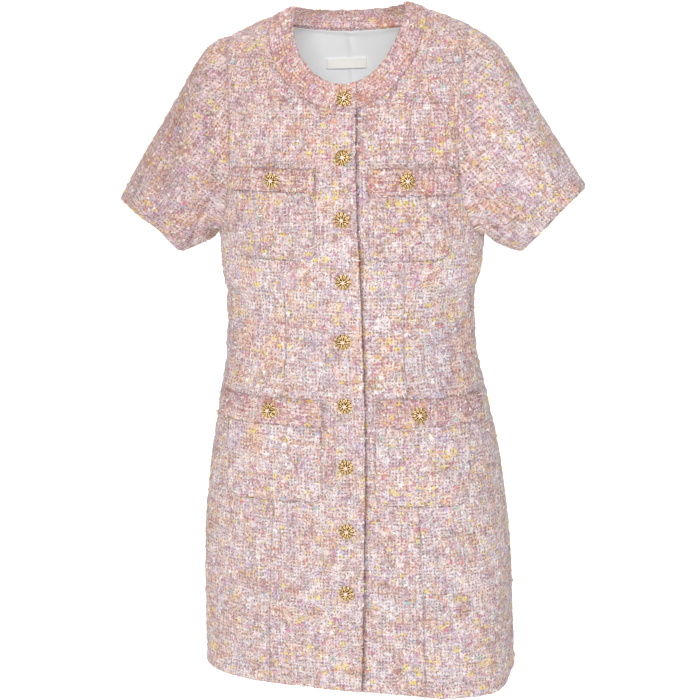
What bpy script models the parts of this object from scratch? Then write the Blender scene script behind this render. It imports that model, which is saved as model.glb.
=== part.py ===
"""A short-sleeved, button-front tweed mini dress, filled out and hollow.

Sizes are in millimetres and become metres when a point is placed. +Z is up, the front faces -Y and +X is the
wearer's left. The origin lies between the shoulders, level with the neck ends of the shoulder seams.

The cloth pieces are walls on one form, a stack of rings: each row of FORM is a section of the dress. A point of
the form is named by its turn (0 front middle, 1 wearer's left side, 2 back middle, 3 or -1 right side) and its
drop (the way down the side of the form from the neck). A piece is a patch of the form between its seams.
"""

import math

import bmesh
import bpy
import numpy as np
from mathutils import Matrix, Vector

MM = 0.001

# ---------------------------------------------------------------- sizes
CLOTH = 2.2  # wall of the tweed
SEAM = 0.18  # what each of two sewn edges is drawn back from the seam line
LAP_LIFT = 3.3  # how far the upper front stands out over the underlap
LAP_RAMP = (-70.0, -31.0)  # where the upper front rises, across the front
PLACKET_EDGE = 17.5  # edge of the upper front at the neck, from the button row
UNDERLAP_EDGE = -26.0  # hidden edge of the lower front, from the button row
SWAY = 8.0  # the dress is turned on its form: its front middle lies this far to the wearer's left
BACK_SWAY = -16.0  # and its back middle lies to the right
LENGTH = 858.0  # from the top of the shoulder to the hem
SHOULDER_TILT = 0.028  # the wearer's left shoulder is this much higher, for each millimetre across
HEM_TILT = 5.5  # the hem's left side hangs this much lower than its middle
ARMPIT = -285.0
SHOULDER_TIP = -33.0
PRINCESS_TOP = -20.0  # height where the princess seam meets the shoulder seam
WAIST = -395.0  # lower edge of the back's lining
LINING_WALL = 1.0
LINING_GAP = 1.3
LINING_TUCK = 1.2  # how much further in the lining's top edge lies
LABEL_WIDTH, LABEL_HEIGHT, LABEL_WALL, LABEL_GAP = 54.0, 14.0, 1.0, 0.9
LABEL_X, LABEL_Z = BACK_SWAY - 6.5, -73.0
ON_PANEL = 0.6  # between a panel and the patch on it
UNDER_BUTTON = 0.4

# Rings of the form, from the neck down
FORM_COLUMNS = ("z", "half_width", "front_depth", "back_depth", "squareness", "centre_x")
FORM = (
    (0.0, 69.0, 5.0, 6.0, 2.20, 0.0),
    (-2.0, 75.0, 9.0, 40.0, 2.20, 0.0),
    (-6.0, 86.0, 17.0, 66.0, 2.20, 0.0),
    (-10.7, 98.0, 26.0, 73.0, 2.20, 0.0),
    (-20.0, 123.0, 41.0, 80.0, 2.25, 0.0),
    (-33.0, 150.0, 54.0, 86.0, 2.30, 0.0),
    (-48.0, 163.0, 65.0, 90.0, 2.35, 0.0),
    (-75.0, 171.0, 77.0, 95.0, 2.40, 0.0),
    (-103.0, 173.0, 86.0, 98.0, 2.40, 0.0),
    (-150.0, 172.0, 98.0, 102.0, 2.40, 0.0),
    (-205.0, 169.5, 107.0, 100.0, 2.40, 0.0),
    (-262.0, 168.5, 108.0, 93.0, 2.40, 0.0),
    (-315.0, 166.0, 101.0, 85.0, 2.40, -1.0),
    (-370.0, 158.5, 94.0, 79.0, 2.40, -4.0),
    (-430.0, 160.5, 94.0, 84.0, 2.50, -3.0),
    (-495.0, 172.5, 97.0, 93.0, 2.70, -1.0),
    (-580.0, 187.5, 101.0, 99.0, 2.90, 0.5),
    (-680.0, 198.5, 103.0, 99.0, 3.10, 1.0),
    (-780.0, 202.5, 103.0, 97.0, 3.30, 1.5),
    (-866.0, 203.0, 103.0, 95.0, 3.60, 3.0),
)

# The armhole: how far out it lies at each height, as a share of the form's half width, and the height where the
# same row of cloth meets the princess seam
ARMHOLE_COLUMNS = ("z", "front_reach", "back_reach", "princess_z")
ARMHOLE = (
    (-285.0, 1.000, 1.000, -285.0),
    (-276.0, 0.968, 0.972, -266.0),
    (-260.0, 0.925, 0.935, -246.0),
    (-236.0, 0.884, 0.905, -222.0),
    (-207.0, 0.848, 0.878, -195.0),
    (-175.0, 0.828, 0.862, -163.0),
    (-140.0, 0.822, 0.856, -131.0),
    (-106.0, 0.832, 0.862, -104.0),
    (-78.0, 0.854, 0.880, -82.0),
    (-56.0, 0.892, 0.910, -62.0),
    (-42.5, 0.940, 0.948, -44.0),
    (-36.0, 0.976, 0.979, -30.0),
    (-33.0, 1.000, 1.000, -20.0),
)

# The princess seam: its distance from the button row at each height
PRINCESS_COLUMNS = ("z", "from_button_row")
PRINCESS = (
    (-20.0, 123.0),
    (-33.0, 116.0),
    (-50.0, 108.0),
    (-78.0, 96.0),
    (-115.0, 87.0),
    (-195.0, 80.5),
    (-280.0, 78.5),
    (-360.0, 74.0),
    (-420.0, 73.5),
    (-470.0, 78.5),
    (-560.0, 88.0),
    (-700.0, 97.0),
    (-866.0, 102.0),
)

# Neck lines: half ellipses, one for the front and one for the back
NECK_COLUMNS = ("half_width", "side_z", "front_z", "back_z")
NECK_INNER = (69.0, 0.0, -95.0, -6.0)
NECK_OUTER = (98.0, -10.7, -125.0, -30.0)

# Rings of the wearer's right sleeve, from the armhole to the hem. The top and bottom of a ring lie in the middle
# plane of the sleeve. lean is how far a ring's front is drawn towards the body and its back away from it, and own
# is how much of the ring is the sleeve's own oval and not yet the armhole.
SLEEVE_COLUMNS = ("step", "top_x", "top_z", "bottom_x", "bottom_z", "front", "back", "lean", "own")
SLEEVE = (
    (0.00, 150.0, -33.0, 167.5, -285.0, 66.0, 64.0, 0.00, 0.0),
    (0.05, 160.0, -37.0, 170.5, -283.5, 67.0, 65.0, 0.01, 0.45),
    (0.12, 174.5, -45.0, 176.5, -287.0, 69.0, 67.0, 0.04, 0.85),
    (0.22, 193.5, -66.0, 184.0, -293.0, 71.0, 69.0, 0.08, 1.0),
    (0.40, 221.0, -108.5, 197.0, -299.5, 70.0, 69.0, 0.15, 1.0),
    (0.60, 251.5, -155.0, 208.0, -304.5, 66.0, 66.0, 0.22, 1.0),
    (0.80, 281.0, -200.0, 218.0, -308.5, 61.0, 62.0, 0.27, 1.0),
    (1.00, 307.0, -244.0, 226.0, -311.0, 57.0, 59.0, 0.30, 1.0),
)
SLEEVE_DIP = 0.10  # how much lower a sleeve ring's back hangs than its front
# What is added for the wearer's left sleeve, which hangs higher and closer
LEFT_SLEEVE_COLUMNS = ("step", "top_x", "top_z", "bottom_x", "bottom_z", "lean")
LEFT_SLEEVE = (
    (0.00, 0.0, 0.0, 0.0, 0.0, 0.00),
    (0.12, 1.5, 0.5, -1.0, 0.0, -0.04),
    (0.40, -1.0, 1.5, -3.0, 1.0, -0.17),
    (0.60, -5.5, 6.0, -4.5, 2.5, -0.25),
    (0.80, -11.0, 13.0, -7.0, 5.0, -0.31),
    (1.00, -14.0, 20.0, -8.0, 8.0, -0.34),
)

# Largest folds of the body: soft troughs (negative) and ridges down the skirt
FOLD_COLUMNS = ("turn", "top_z", "bottom_z", "lean", "half_span", "height")
FOLDS = (
    (-0.86, -640.0, -858.0, -0.03, 0.10, -2.4),
    (-0.46, -650.0, -858.0, 0.05, 0.12, 1.6),
    (0.50, -650.0, -858.0, -0.04, 0.12, 1.8),
    (0.88, -640.0, -858.0, 0.02, 0.10, -2.6),
    (1.42, -430.0, -858.0, 0.05, 0.13, -3.4),
    (1.80, -560.0, -858.0, -0.03, 0.14, 2.8),
    (2.30, -450.0, -858.0, 0.04, 0.14, -3.2),
    (2.70, -540.0, -858.0, -0.04, 0.13, 2.6),
)
# Largest folds of the sleeves. around is 0 at the top, 1 in front, 2 under the arm and 3 behind
SLEEVE_FOLD_COLUMNS = ("side", "around_from", "step_from", "around_to", "step_to", "half_span", "height")
SLEEVE_FOLDS = (
    (-1, 0.45, 0.25, 1.12, 1.00, 0.24, -6.0),
    (-1, 0.95, 0.25, 1.55, 1.00, 0.22, 3.0),
    (-1, 2.95, 0.30, 3.25, 1.00, 0.28, -4.5),
    (1, 1.40, 0.25, 1.05, 1.00, 0.26, -3.2),
    (1, 0.60, 0.35, 0.50, 1.00, 0.24, 2.0),
    (1, 2.80, 0.30, 3.10, 1.00, 0.28, -4.5),
)

# Pockets and flaps: their edges' distances from the button row, and their heights. The dress is turned on its
# form, so those on the wearer's left (side 1) stand a little further round
POCKET_COLUMNS = ("inner", "outer", "top_z", "bottom_z", "corner")
BREAST_POCKET = {-1: (31.5, 129.0, -203.0, -305.0, 15.0), 1: (34.5, 131.0, -204.0, -305.0, 15.0)}
HIP_POCKET = {-1: (30.0, 150.0, -491.0, -611.0, 15.0), 1: (38.0, 156.0, -489.0, -611.0, 15.0)}
BREAST_FLAP = {-1: (29.0, 133.0, -194.0, -222.0, 4.0), 1: (34.0, 138.0, -194.0, -226.0, 4.0)}
HIP_FLAP = {-1: (27.0, 155.0, -480.0, -513.0, 4.0), 1: (36.0, 165.0, -477.0, -511.0, 4.0)}
# A flap's rows: how far down it, and how far off the panel
FLAP_ROWS = ((1.0, 4.3), (0.24, 4.0), (0.0, 0.6))

# How much further over the upper front's edge lies below the neck
PLACKET_COLUMNS = ("z", "further")
PLACKET = (
    (-130.0, 0.0),
    (-200.0, 1.8),
    (-290.0, 3.2),
    (-384.0, 4.2),
    (-478.0, 6.8),
    (-545.0, 7.6),
    (-700.0, 5.2),
    (-866.0, 0.0),
)

# Buttons: the front row, sewn on a little unevenly, and the buttons on the flaps
BUTTON_COLUMNS = ("z", "from_row")
BUTTON_ROW = (
    (-113.0, 3.5),
    (-181.0, 3.6),
    (-254.0, 2.8),
    (-330.0, 1.2),
    (-406.0, -1.2),
    (-486.0, 1.0),
    (-563.0, 1.8),
    (-645.0, 2.2),
    (-726.0, 0.4),
)
BREAST_BUTTON = (80.5, -208.0)
HIP_BUTTON = (93.0, -496.0)
# The turned body of a button: radius and height over the cloth
BUTTON_PROFILE = ((0.0, 5.8), (7.0, 4.7), (11.0, 2.4), (10.4, 1.3), (3.4, 1.0), (3.2, 0.0), (0.0, 0.0))
BUTTON_STEPS = 14

# How finely the pieces are faceted
SIDE_ROWS = 14  # rows from the hem to the armpit
NECK_ROWS = 7  # along each half of the front neck seam
CENTRE_COLUMNS = 6
SIDE_COLUMNS = 5
BACK_NECK_COLUMNS = 10
SLEEVE_ROWS = 9
BAND_ROWS = 2
QUARTER_SPAN = 190.0  # about a quarter of the way round the form
RELAX_ROUNDS = 300

TWEED = (0.85, 0.66, 0.67, 1.0)
TWEED_TRIM = (0.84, 0.60, 0.60, 1.0)
LINING_COLOUR = (0.86, 0.86, 0.87, 1.0)
LABEL_COLOUR = (0.93, 0.93, 0.90, 1.0)
GOLD = (0.80, 0.58, 0.22, 1.0)


# ---------------------------------------------------------------- curves through table rows
def column(table, columns, name):
    return np.array([row[columns.index(name)] for row in table], float)


class Through:
    """A smooth curve through the rows of a table that doesn't overshoot between them."""

    def __init__(self, x, y):
        order = np.argsort(x)
        self.x, self.y = np.asarray(x, float)[order], np.asarray(y, float)[order]
        h, d = np.diff(self.x), np.diff(self.y) / np.diff(self.x)
        m = np.zeros(len(self.x))
        for i in range(1, len(m) - 1):
            if d[i - 1] * d[i] > 0:
                w1, w2 = 2 * h[i] + h[i - 1], h[i] + 2 * h[i - 1]
                m[i] = (w1 + w2) / (w1 / d[i - 1] + w2 / d[i])
        m[0], m[-1] = d[0], d[-1]
        self.slope = m

    def __call__(self, at):
        at = np.clip(np.asarray(at, float), self.x[0], self.x[-1])
        i = np.clip(np.searchsorted(self.x, at) - 1, 0, len(self.x) - 2)
        h = self.x[i + 1] - self.x[i]
        t = (at - self.x[i]) / h
        return (
            (2 * t**3 - 3 * t**2 + 1) * self.y[i]
            + (t**3 - 2 * t**2 + t) * h * self.slope[i]
            + (3 * t**2 - 2 * t**3) * self.y[i + 1]
            + (t**3 - t**2) * h * self.slope[i + 1]
        )


def smooth(t):
    t = np.clip(t, 0.0, 1.0)
    return t * t * (3 - 2 * t)


def unit(v):
    return v / np.maximum(np.linalg.norm(v, axis=-1, keepdims=True), 1e-9)


FORM_Z = column(FORM, FORM_COLUMNS, "z")
form_at = {n: Through(FORM_Z, column(FORM, FORM_COLUMNS, n)) for n in FORM_COLUMNS[1:]}

# Drop: the way down the side of the form, so that rows stay evenly spaced over the shoulder
STEPS_Z = FORM_Z[-1] * np.linspace(0, 1, 900) ** 1.6
STEPS_DROP = np.append(0, np.cumsum(np.hypot(np.diff(STEPS_Z), np.diff(form_at["half_width"](STEPS_Z)))))


def drop_of(z):
    return np.interp(-np.asarray(z, float), -STEPS_Z, STEPS_DROP)


def z_of(drop):
    return np.interp(drop, STEPS_DROP, STEPS_Z)


# ---------------------------------------------------------------- the form
QUARTER = np.linspace(0.0, math.pi / 2, 49)


def quarter_ring(z, back):
    """Points of a quarter of each ring, from its middle to its side, and the share of its length at each."""
    a = form_at["half_width"](z)[:, None]
    b = np.where(back, form_at["back_depth"](z), form_at["front_depth"](z))[:, None]
    n = form_at["squareness"](z)[:, None]
    s, c = np.sin(QUARTER)[None, :], np.cos(QUARTER)[None, :]
    r = ((s / a) ** n + (c / b) ** n) ** (-1 / n)
    x, y = r * s, r * c
    length = np.hypot(np.diff(x, axis=1), np.diff(y, axis=1)).cumsum(axis=1)
    share = np.concatenate([np.zeros((len(z), 1)), length / length[:, -1:]], axis=1)
    return x, y, share


def row_interp(at, xs, ys):
    """Interpolates each row of ys at its own value of xs."""
    i = np.clip((xs <= at[:, None]).sum(axis=1) - 1, 0, xs.shape[1] - 2)
    k = np.arange(len(at))
    x0, x1 = xs[k, i], xs[k, i + 1]
    t = (at - x0) / np.maximum(x1 - x0, 1e-12)
    return ys[k, i] + (ys[k, i + 1] - ys[k, i]) * t


def bare(turn, drop):
    """A point of the form without its folds."""
    turn, drop = np.broadcast_arrays(np.asarray(turn, float), np.asarray(drop, float))
    shape = turn.shape
    turn, z = turn.ravel(), z_of(drop.ravel())
    turn = np.where(turn < -1, turn + 4, np.where(turn > 3, turn - 4, turn))
    back = turn > 1
    away = np.where(back, np.abs(turn - 2), np.abs(turn))
    sign = np.where(back, np.sign(2 - turn), np.sign(turn))
    x, y, share = quarter_ring(z, back)
    px = row_interp(away, share, x) * sign + form_at["centre_x"](z)
    py = row_interp(away, share, y) * np.where(back, 1.0, -1.0)
    pz = z + SHOULDER_TILT * px * smooth(1 + z / 230.0)
    return np.stack([px, py, pz], axis=-1).reshape(shape + (3,))


def outward(turn, drop):
    turn, drop = np.broadcast_arrays(np.asarray(turn, float), np.asarray(drop, float))
    e, h = 0.012, 1.5
    across = bare(turn + e, drop) - bare(turn - e, drop)
    along = bare(turn, np.maximum(drop - h, 0.0)) - bare(turn, drop + h)
    return unit(np.cross(across, along))


def fold_height(turn, drop):
    z = z_of(drop)
    total = np.zeros(np.broadcast(turn, drop).shape)
    for at, top, bottom, lean, half, height in FOLDS:
        fall = np.clip((top - z) / (top - bottom), 0.0, 1.0)
        away = (turn - at - lean * fall + 2) % 4 - 2
        total = total + height * np.exp(-((away / half) ** 2)) * smooth(fall * 1.4)
    return total


def on_form(turn, drop, out=0.0):
    """A point on the form with its folds, moved out from it."""
    return bare(turn, drop) + outward(turn, drop) * (fold_height(turn, drop) + out)[..., None]


def turn_at(x, z, back=False):
    """The turn of a point of the form from its x."""
    x, z = np.broadcast_arrays(np.asarray(x, float), np.asarray(z, float))
    shape, x, z = x.shape, x.ravel(), z.ravel()
    x = x - form_at["centre_x"](z)
    a = form_at["half_width"](z)
    b = form_at["back_depth" if back else "front_depth"](z)
    n = form_at["squareness"](z)
    y = b * (1 - np.clip(np.abs(x) / a, 0, 1) ** n) ** (1 / n)
    share = quarter_ring(z, np.full(len(z), back))[2]
    away = row_interp(np.arctan2(np.minimum(np.abs(x), a), y), np.broadcast_to(QUARTER, share.shape), share)
    away = np.minimum(away, 1.0) * np.sign(x)
    return (2 - away if back else away).reshape(shape)


def front_turn(from_row, z):
    """The turn of a front point from its distance to the button row."""
    reach = np.clip(np.abs(from_row) / form_at["half_width"](z), 0, 1)
    return turn_at(from_row + SWAY * (1 - reach**2), z)


def lap(turn, drop):
    """How far the upper front stands out, so that it clears the underlap."""
    from_row = bare(turn, drop)[..., 0] - SWAY
    return LAP_LIFT * smooth((from_row - LAP_RAMP[0]) / (LAP_RAMP[1] - LAP_RAMP[0]))


# ---------------------------------------------------------------- seam lines, each a run of turns and drops
def rows_of_drop(name):
    """Drops of the body's rows from the hem up, on the armhole or on the princess seam."""
    above = drop_of(column(ARMHOLE, ARMHOLE_COLUMNS, name))
    return np.concatenate([np.linspace(drop_of(-LENGTH), above[0], SIDE_ROWS + 1)[:-1], above])


def side_line(side, back):
    """Side seam and armhole, on the wearer's left (1) or right (-1)."""
    drop = rows_of_drop("z")
    reach = np.ones(len(drop))
    reach[SIDE_ROWS:] = column(ARMHOLE, ARMHOLE_COLUMNS, "back_reach" if back else "front_reach")
    z = z_of(drop)
    sway = 0.0 if back else SWAY * (1 - reach**2)
    turn = turn_at(side * reach * form_at["half_width"](z) + sway + form_at["centre_x"](z), z, back)
    turn[reach == 1] = side if not back else 2 - side
    return turn, drop


def princess_line(side):
    drop = rows_of_drop("princess_z")
    z = z_of(drop)
    from_row = Through(
        column(PRINCESS, PRINCESS_COLUMNS, "z"), column(PRINCESS, PRINCESS_COLUMNS, "from_button_row")
    )(z)
    turn = front_turn(side * from_row, z)
    turn[-1] = side
    return turn, drop


def neck_front(neck, side, edge):
    """A neck line from the front edge round to the shoulder seam."""
    half, side_z, front_z, _ = neck
    angle = math.acos(side * edge / half) * np.linspace(1.0, 0.0, NECK_ROWS + 1) ** 1.25
    z = side_z + (front_z - side_z) * np.sin(angle)
    turn = front_turn(side * half * np.cos(angle), z)
    turn[-1] = side
    return turn, drop_of(z)


def neck_back(neck):
    """A neck line round the back, from the wearer's left shoulder to the right."""
    half, side_z, _, back_z = neck
    angle = np.linspace(0.0, math.pi, BACK_NECK_COLUMNS + 1)
    z = side_z + (back_z - side_z) * np.sin(angle)
    turn = turn_at(half * np.cos(angle), z, back=True)
    turn[0], turn[-1] = 1.0, 3.0
    return turn, drop_of(z)


# ---------------------------------------------------------------- grids of turns and drops
def between(first, last, columns):
    """A grid ruled between two seam lines."""
    u = np.linspace(0, 1, columns + 1)[None, :]
    return hem_tilted(*(a[:, None] * (1 - u) + b[:, None] * u for a, b in zip(first, last)))


def hem_tilted(turn, drop):
    drop[0] = drop_of(-LENGTH - HEM_TILT * np.sin(turn[0] * math.pi / 2))
    return turn, drop


def relax(turn, drop):
    """Evens out the inner points of a grid between its seam lines, so that no row or column crosses another."""
    p = np.stack([turn * QUARTER_SPAN, drop])
    for _ in range(RELAX_ROUNDS):
        left, right, below, above = p[:, 1:-1, :-2], p[:, 1:-1, 2:], p[:, :-2, 1:-1], p[:, 2:, 1:-1]
        across, along = (right - left) / 2, (above - below) / 2
        twist = (p[:, 2:, 2:] - p[:, 2:, :-2] - p[:, :-2, 2:] + p[:, :-2, :-2]) / 2
        a, b, c = (along**2).sum(0), (across * along).sum(0), (across**2).sum(0)
        p[:, 1:-1, 1:-1] = (a * (left + right) + c * (below + above) - b * twist) / (2 * (a + c))
    return p[0] / QUARTER_SPAN, p[1]


placket_further = Through(column(PLACKET, PLACKET_COLUMNS, "z"), column(PLACKET, PLACKET_COLUMNS, "further"))


def centre_front(side, edge):
    """Ruled from the front edge and the neck seam above it to the princess seam."""
    neck = neck_front(NECK_OUTER, side, edge)
    armpit, neck_rows = drop_of(ARMPIT), len(neck[0]) - 1
    above = len(ARMHOLE) - 1 - neck_rows
    drop = np.concatenate(
        [np.linspace(drop_of(-LENGTH), armpit, SIDE_ROWS + 1)[:-1], np.linspace(armpit, neck[1][0], above + 1)[:-1], neck[1]]
    )
    line = edge + (placket_further(z_of(drop)) if side < 0 else np.zeros(len(drop)))
    straight = front_turn(line, z_of(drop))[: -neck_rows - 1]
    return between((np.concatenate([straight, neck[0]]), drop), princess_line(side), CENTRE_COLUMNS)


def side_front(side):
    return between(princess_line(side), side_line(side, False), SIDE_COLUMNS)


def back():
    neck = neck_back(NECK_OUTER)
    seam = np.linspace(drop_of(SHOULDER_TIP), drop_of(PRINCESS_TOP), SIDE_COLUMNS + 1)
    top = (
        np.concatenate([np.full(len(seam), 1.0), neck[0], np.full(len(seam), 3.0)]),
        np.concatenate([seam, neck[1], seam[::-1]]),
    )
    first, last = side_line(1, True), side_line(-1, True)
    u = np.linspace(0, 1, len(top[0]))[None, :]
    start = SIDE_ROWS - 4  # the top line's shape fades in from this row up
    late = smooth((np.arange(len(first[0])) - start) / (len(first[0]) - 1 - start))[:, None]
    grid = []
    for a, b, t in zip(first, last, top):
        straight = a[:, None] * (1 - u) + b[:, None] * u
        grid.append(straight + late * (t - straight[-1])[None, :])
    return hem_tilted(*relax(*grid))


def band():
    """The neck band, from the underlap round the wearer's left and the back to the front edge."""
    lines = []
    for neck in (NECK_OUTER, NECK_INNER):
        left, behind, right = neck_front(neck, 1, UNDERLAP_EDGE), neck_back(neck), neck_front(neck, -1, PLACKET_EDGE)
        turn = np.concatenate([left[0], behind[0][1:], right[0][::-1][1:] + 4])
        lines.append((turn, np.concatenate([left[1], behind[1][1:], right[1][::-1][1:]])))
    v = np.linspace(0, 1, BAND_ROWS + 1)[:, None]
    turn, drop = (lines[0][k] * (1 - v) + lines[1][k] * v for k in (0, 1))
    lift = np.where(np.arange(turn.shape[1]) > NECK_ROWS + BACK_NECK_COLUMNS, lap(turn, drop), 0.0)
    return turn, drop, lift


# ---------------------------------------------------------------- walls
def draw_back(points, normals, edges):
    """Draws the named edges of a grid back from their seam lines, along the cloth."""
    moved = points.copy()
    for edge in edges:
        at, beside = {
            "first": (np.s_[:, 0], np.s_[:, 1]),
            "last": (np.s_[:, -1], np.s_[:, -2]),
            "bottom": (np.s_[0], np.s_[1]),
            "top": (np.s_[-1], np.s_[-2]),
            "neck": (np.s_[-NECK_ROWS - 1 :, 0], np.s_[-NECK_ROWS - 1 :, 1]),
        }[edge]
        into = unit(np.cross(normals[at], np.gradient(points[at], axis=0)))
        into *= np.sign(np.einsum("ij,ij->i", into, points[beside] - points[at]))[:, None]
        moved[at] += into * SEAM
    return moved


def material(name, colour, roughness, metallic=0.0):
    m = bpy.data.materials.new(name)
    m.use_nodes = True
    b = m.node_tree.nodes["Principled BSDF"]
    b.inputs["Base Color"].default_value = colour
    b.inputs["Roughness"].default_value = roughness
    b.inputs["Metallic"].default_value = metallic
    m.diffuse_color = colour
    return m


def new_object(name, mesh, colour, roughness=0.9, metallic=0.0):
    obj = bpy.data.objects.new(name, mesh)
    PARTS.objects.link(obj)
    obj.data.materials.append(material(name + "_finish", colour, roughness, metallic))
    return obj


def wall(name, outer, inner, colour, closed=False, roughness=0.9):
    """A closed wall lofted between an outer and an inner grid of points. A closed one runs all round a tube."""
    rows, columns = outer.shape[:2]
    bm = bmesh.new()
    o, n = [[[bm.verts.new(Vector(p * MM)) for p in row] for row in grid] for grid in (outer, inner)]
    spans = [(j, (j + 1) % columns) for j in range(columns if closed else columns - 1)]
    for i in range(rows - 1):
        for j, k in spans:
            rising = np.linalg.norm(outer[i, j] - outer[i + 1, k]) < 1.03 * np.linalg.norm(outer[i, k] - outer[i + 1, j])
            for g in (o, n):
                a, b, c, d = g[i][j], g[i][k], g[i + 1][k], g[i + 1][j]
                for three in ((a, b, c), (a, c, d)) if rising else ((a, b, d), (b, c, d)):
                    bm.faces.new(three)
        if not closed:
            bm.faces.new((o[i][0], o[i + 1][0], n[i + 1][0], n[i][0]))
            bm.faces.new((o[i][-1], n[i][-1], n[i + 1][-1], o[i + 1][-1]))
    for j, k in spans:
        bm.faces.new((o[0][j], n[0][j], n[0][k], o[0][k]))
        bm.faces.new((o[-1][j], o[-1][k], n[-1][k], n[-1][j]))
    bmesh.ops.recalc_face_normals(bm, faces=bm.faces[:])
    mesh = bpy.data.meshes.new(name)
    bm.to_mesh(mesh)
    bm.free()
    mesh.shade_smooth()
    mesh.set_sharp_from_angle(angle=math.radians(50))
    return new_object(name, mesh, colour, roughness)


def form_wall(name, turn, drop, lift=0.0, edges=(), colour=TWEED, thickness=CLOTH, roughness=0.9):
    normals = outward(turn, drop)
    outer = draw_back(on_form(turn, drop, np.zeros(turn.shape) + lift), normals, edges)
    return wall(name, outer, outer - normals * thickness, colour, roughness=roughness)


# ---------------------------------------------------------------- sleeves
def sleeve_curves(side):
    steps = column(SLEEVE, SLEEVE_COLUMNS, "step")
    curves = {}
    for name in SLEEVE_COLUMNS[1:]:
        value = column(SLEEVE, SLEEVE_COLUMNS, name)
        if side > 0 and name in LEFT_SLEEVE_COLUMNS:
            more = Through(
                column(LEFT_SLEEVE, LEFT_SLEEVE_COLUMNS, "step"), column(LEFT_SLEEVE, LEFT_SLEEVE_COLUMNS, name)
            )
            value = value + more(steps)
        curves[name] = Through(steps, value)
    return curves


def sleeve_oval(side, around, step, curves):
    """A point of the sleeve's own ring."""
    t = {n: curves[n](step) for n in SLEEVE_COLUMNS[1:]}
    c, s = np.cos(around * math.pi / 2), np.sin(around * math.pi / 2)
    x = (t["top_x"] + t["bottom_x"]) / 2 + (t["top_x"] - t["bottom_x"]) / 2 * c
    z = (t["top_z"] + t["bottom_z"]) / 2 + (t["top_z"] - t["bottom_z"]) / 2 * c
    forward = np.where(s > 0, t["front"], t["back"]) * s
    return np.stack([side * (x - t["lean"] * forward), -forward, z + SLEEVE_DIP * smooth(step * 2) * forward], axis=-1)


def sleeve_fold(side, around, step):
    total = np.zeros(np.broadcast(around, step).shape)
    for fold_side, a0, s0, a1, s1, half, height in SLEEVE_FOLDS:
        if fold_side == side:
            t = np.clip((step - s0) / (s1 - s0), 0, 1)
            away = (around - a0 - (a1 - a0) * t + 2) % 4 - 2
            total = total + height * np.exp(-((away / half) ** 2)) * smooth((step - s0 + 0.12) / 0.35)
    return total


def sleeve(name, side):
    front, behind = side_line(side, False), side_line(side, True)
    # the armhole from the top, down the front, under the arm and up the back
    turn = np.concatenate([front[0][SIDE_ROWS:][::-1], behind[0][SIDE_ROWS + 1 : -1]])
    drop = np.concatenate([front[1][SIDE_ROWS:][::-1], behind[1][SIDE_ROWS + 1 : -1]])
    loop, body_normals = on_form(turn, drop), outward(turn, drop)
    underarm = len(front[0]) - SIDE_ROWS - 1
    share = np.clip((loop[:, 2] - loop[underarm, 2]) / (loop[0, 2] - loop[underarm, 2]), 0, 1)
    angle = np.arccos(2 * share - 1) / (math.pi / 2)
    around = np.where(np.arange(len(loop)) <= underarm, angle, 4 - angle)
    curves = sleeve_curves(side)
    steps = np.linspace(0, 1, SLEEVE_ROWS + 1) ** 1.25
    a, s = np.meshgrid(around, steps)
    shift = loop - sleeve_oval(side, around, np.zeros(len(loop)), curves)
    own = curves["own"](s)[..., None]

    def point(a, s):
        return sleeve_oval(side, a, s, curves)

    e = 0.02
    normals = np.cross(point(a + e, s) - point(a - e, s), point(a, np.minimum(s + e, 1)) - point(a, np.maximum(s - e, 0)))
    normals = unit(unit(normals) * side * own + body_normals[None] * (1 - own))
    outer = point(a, s) + shift[None] * (1 - own) + normals * sleeve_fold(side, a, s)[..., None]
    into = unit(np.cross(np.roll(loop, -1, axis=0) - np.roll(loop, 1, axis=0), body_normals))
    into *= np.sign(np.einsum("ij,ij->i", into, loop.mean(axis=0) - loop))[:, None]
    outer[0] = loop + into * SEAM
    return wall(name, outer, outer - normals * CLOTH, TWEED, closed=True)


# ---------------------------------------------------------------- what lies on the fronts
def front_piece(name, side, size, rows, columns, colour):
    """A pocket or flap from the form's own points, moved out. rows holds how far down and how far off."""
    inner_edge, outer_edge, top, bottom, corner = size[side]
    u = np.linspace(0, 1, columns + 1)
    u = 0.5 - 0.5 * np.cos(math.pi * (0.18 + 0.64 * u))  # closer together at the rounded corners
    x = inner_edge + (outer_edge - inner_edge) * (u - u[0]) / (u[-1] - u[0])
    near = np.minimum(np.minimum(x - inner_edge, outer_edge - x), corner)
    low = bottom + corner - np.sqrt(corner**2 - (corner - near) ** 2)
    down = np.array([row[0] for row in rows])[:, None]
    off = np.array([row[1] for row in rows])[:, None]
    z = top + (low[None, :] - top) * down
    turn, drop = front_turn(side * np.broadcast_to(x, z.shape), z), drop_of(z)
    lift = off + (lap(turn, drop) if side < 0 else 0.0)
    return wall(name, on_form(turn, drop, lift + CLOTH), on_form(turn, drop, lift + np.zeros(z.shape)), colour)


def pocket(name, side, size, rows, columns):
    return front_piece(name, side, size, [(1 - i / rows, ON_PANEL) for i in range(rows + 1)], columns, TWEED)


def button_mesh():
    """The turned body of a button, its axis along +Z."""
    mesh = bpy.data.meshes.new("button_body")
    bm = bmesh.new()
    verts = [bm.verts.new((r * MM, 0.0, h * MM)) for r, h in BUTTON_PROFILE]
    for a, b in zip(verts, verts[1:]):
        bm.edges.new((a, b))
    bmesh.ops.spin(
        bm,
        geom=bm.verts[:] + bm.edges[:],
        cent=(0, 0, 0),
        axis=(0, 0, 1),
        angle=2 * math.pi,
        steps=BUTTON_STEPS,
        use_duplicate=False,
    )
    bmesh.ops.remove_doubles(bm, verts=bm.verts[:], dist=1e-6)
    bmesh.ops.recalc_face_normals(bm, faces=bm.faces[:])
    bm.to_mesh(mesh)
    bm.free()
    mesh.shade_smooth()
    mesh.set_sharp_from_angle(angle=math.radians(40))
    return mesh


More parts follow.
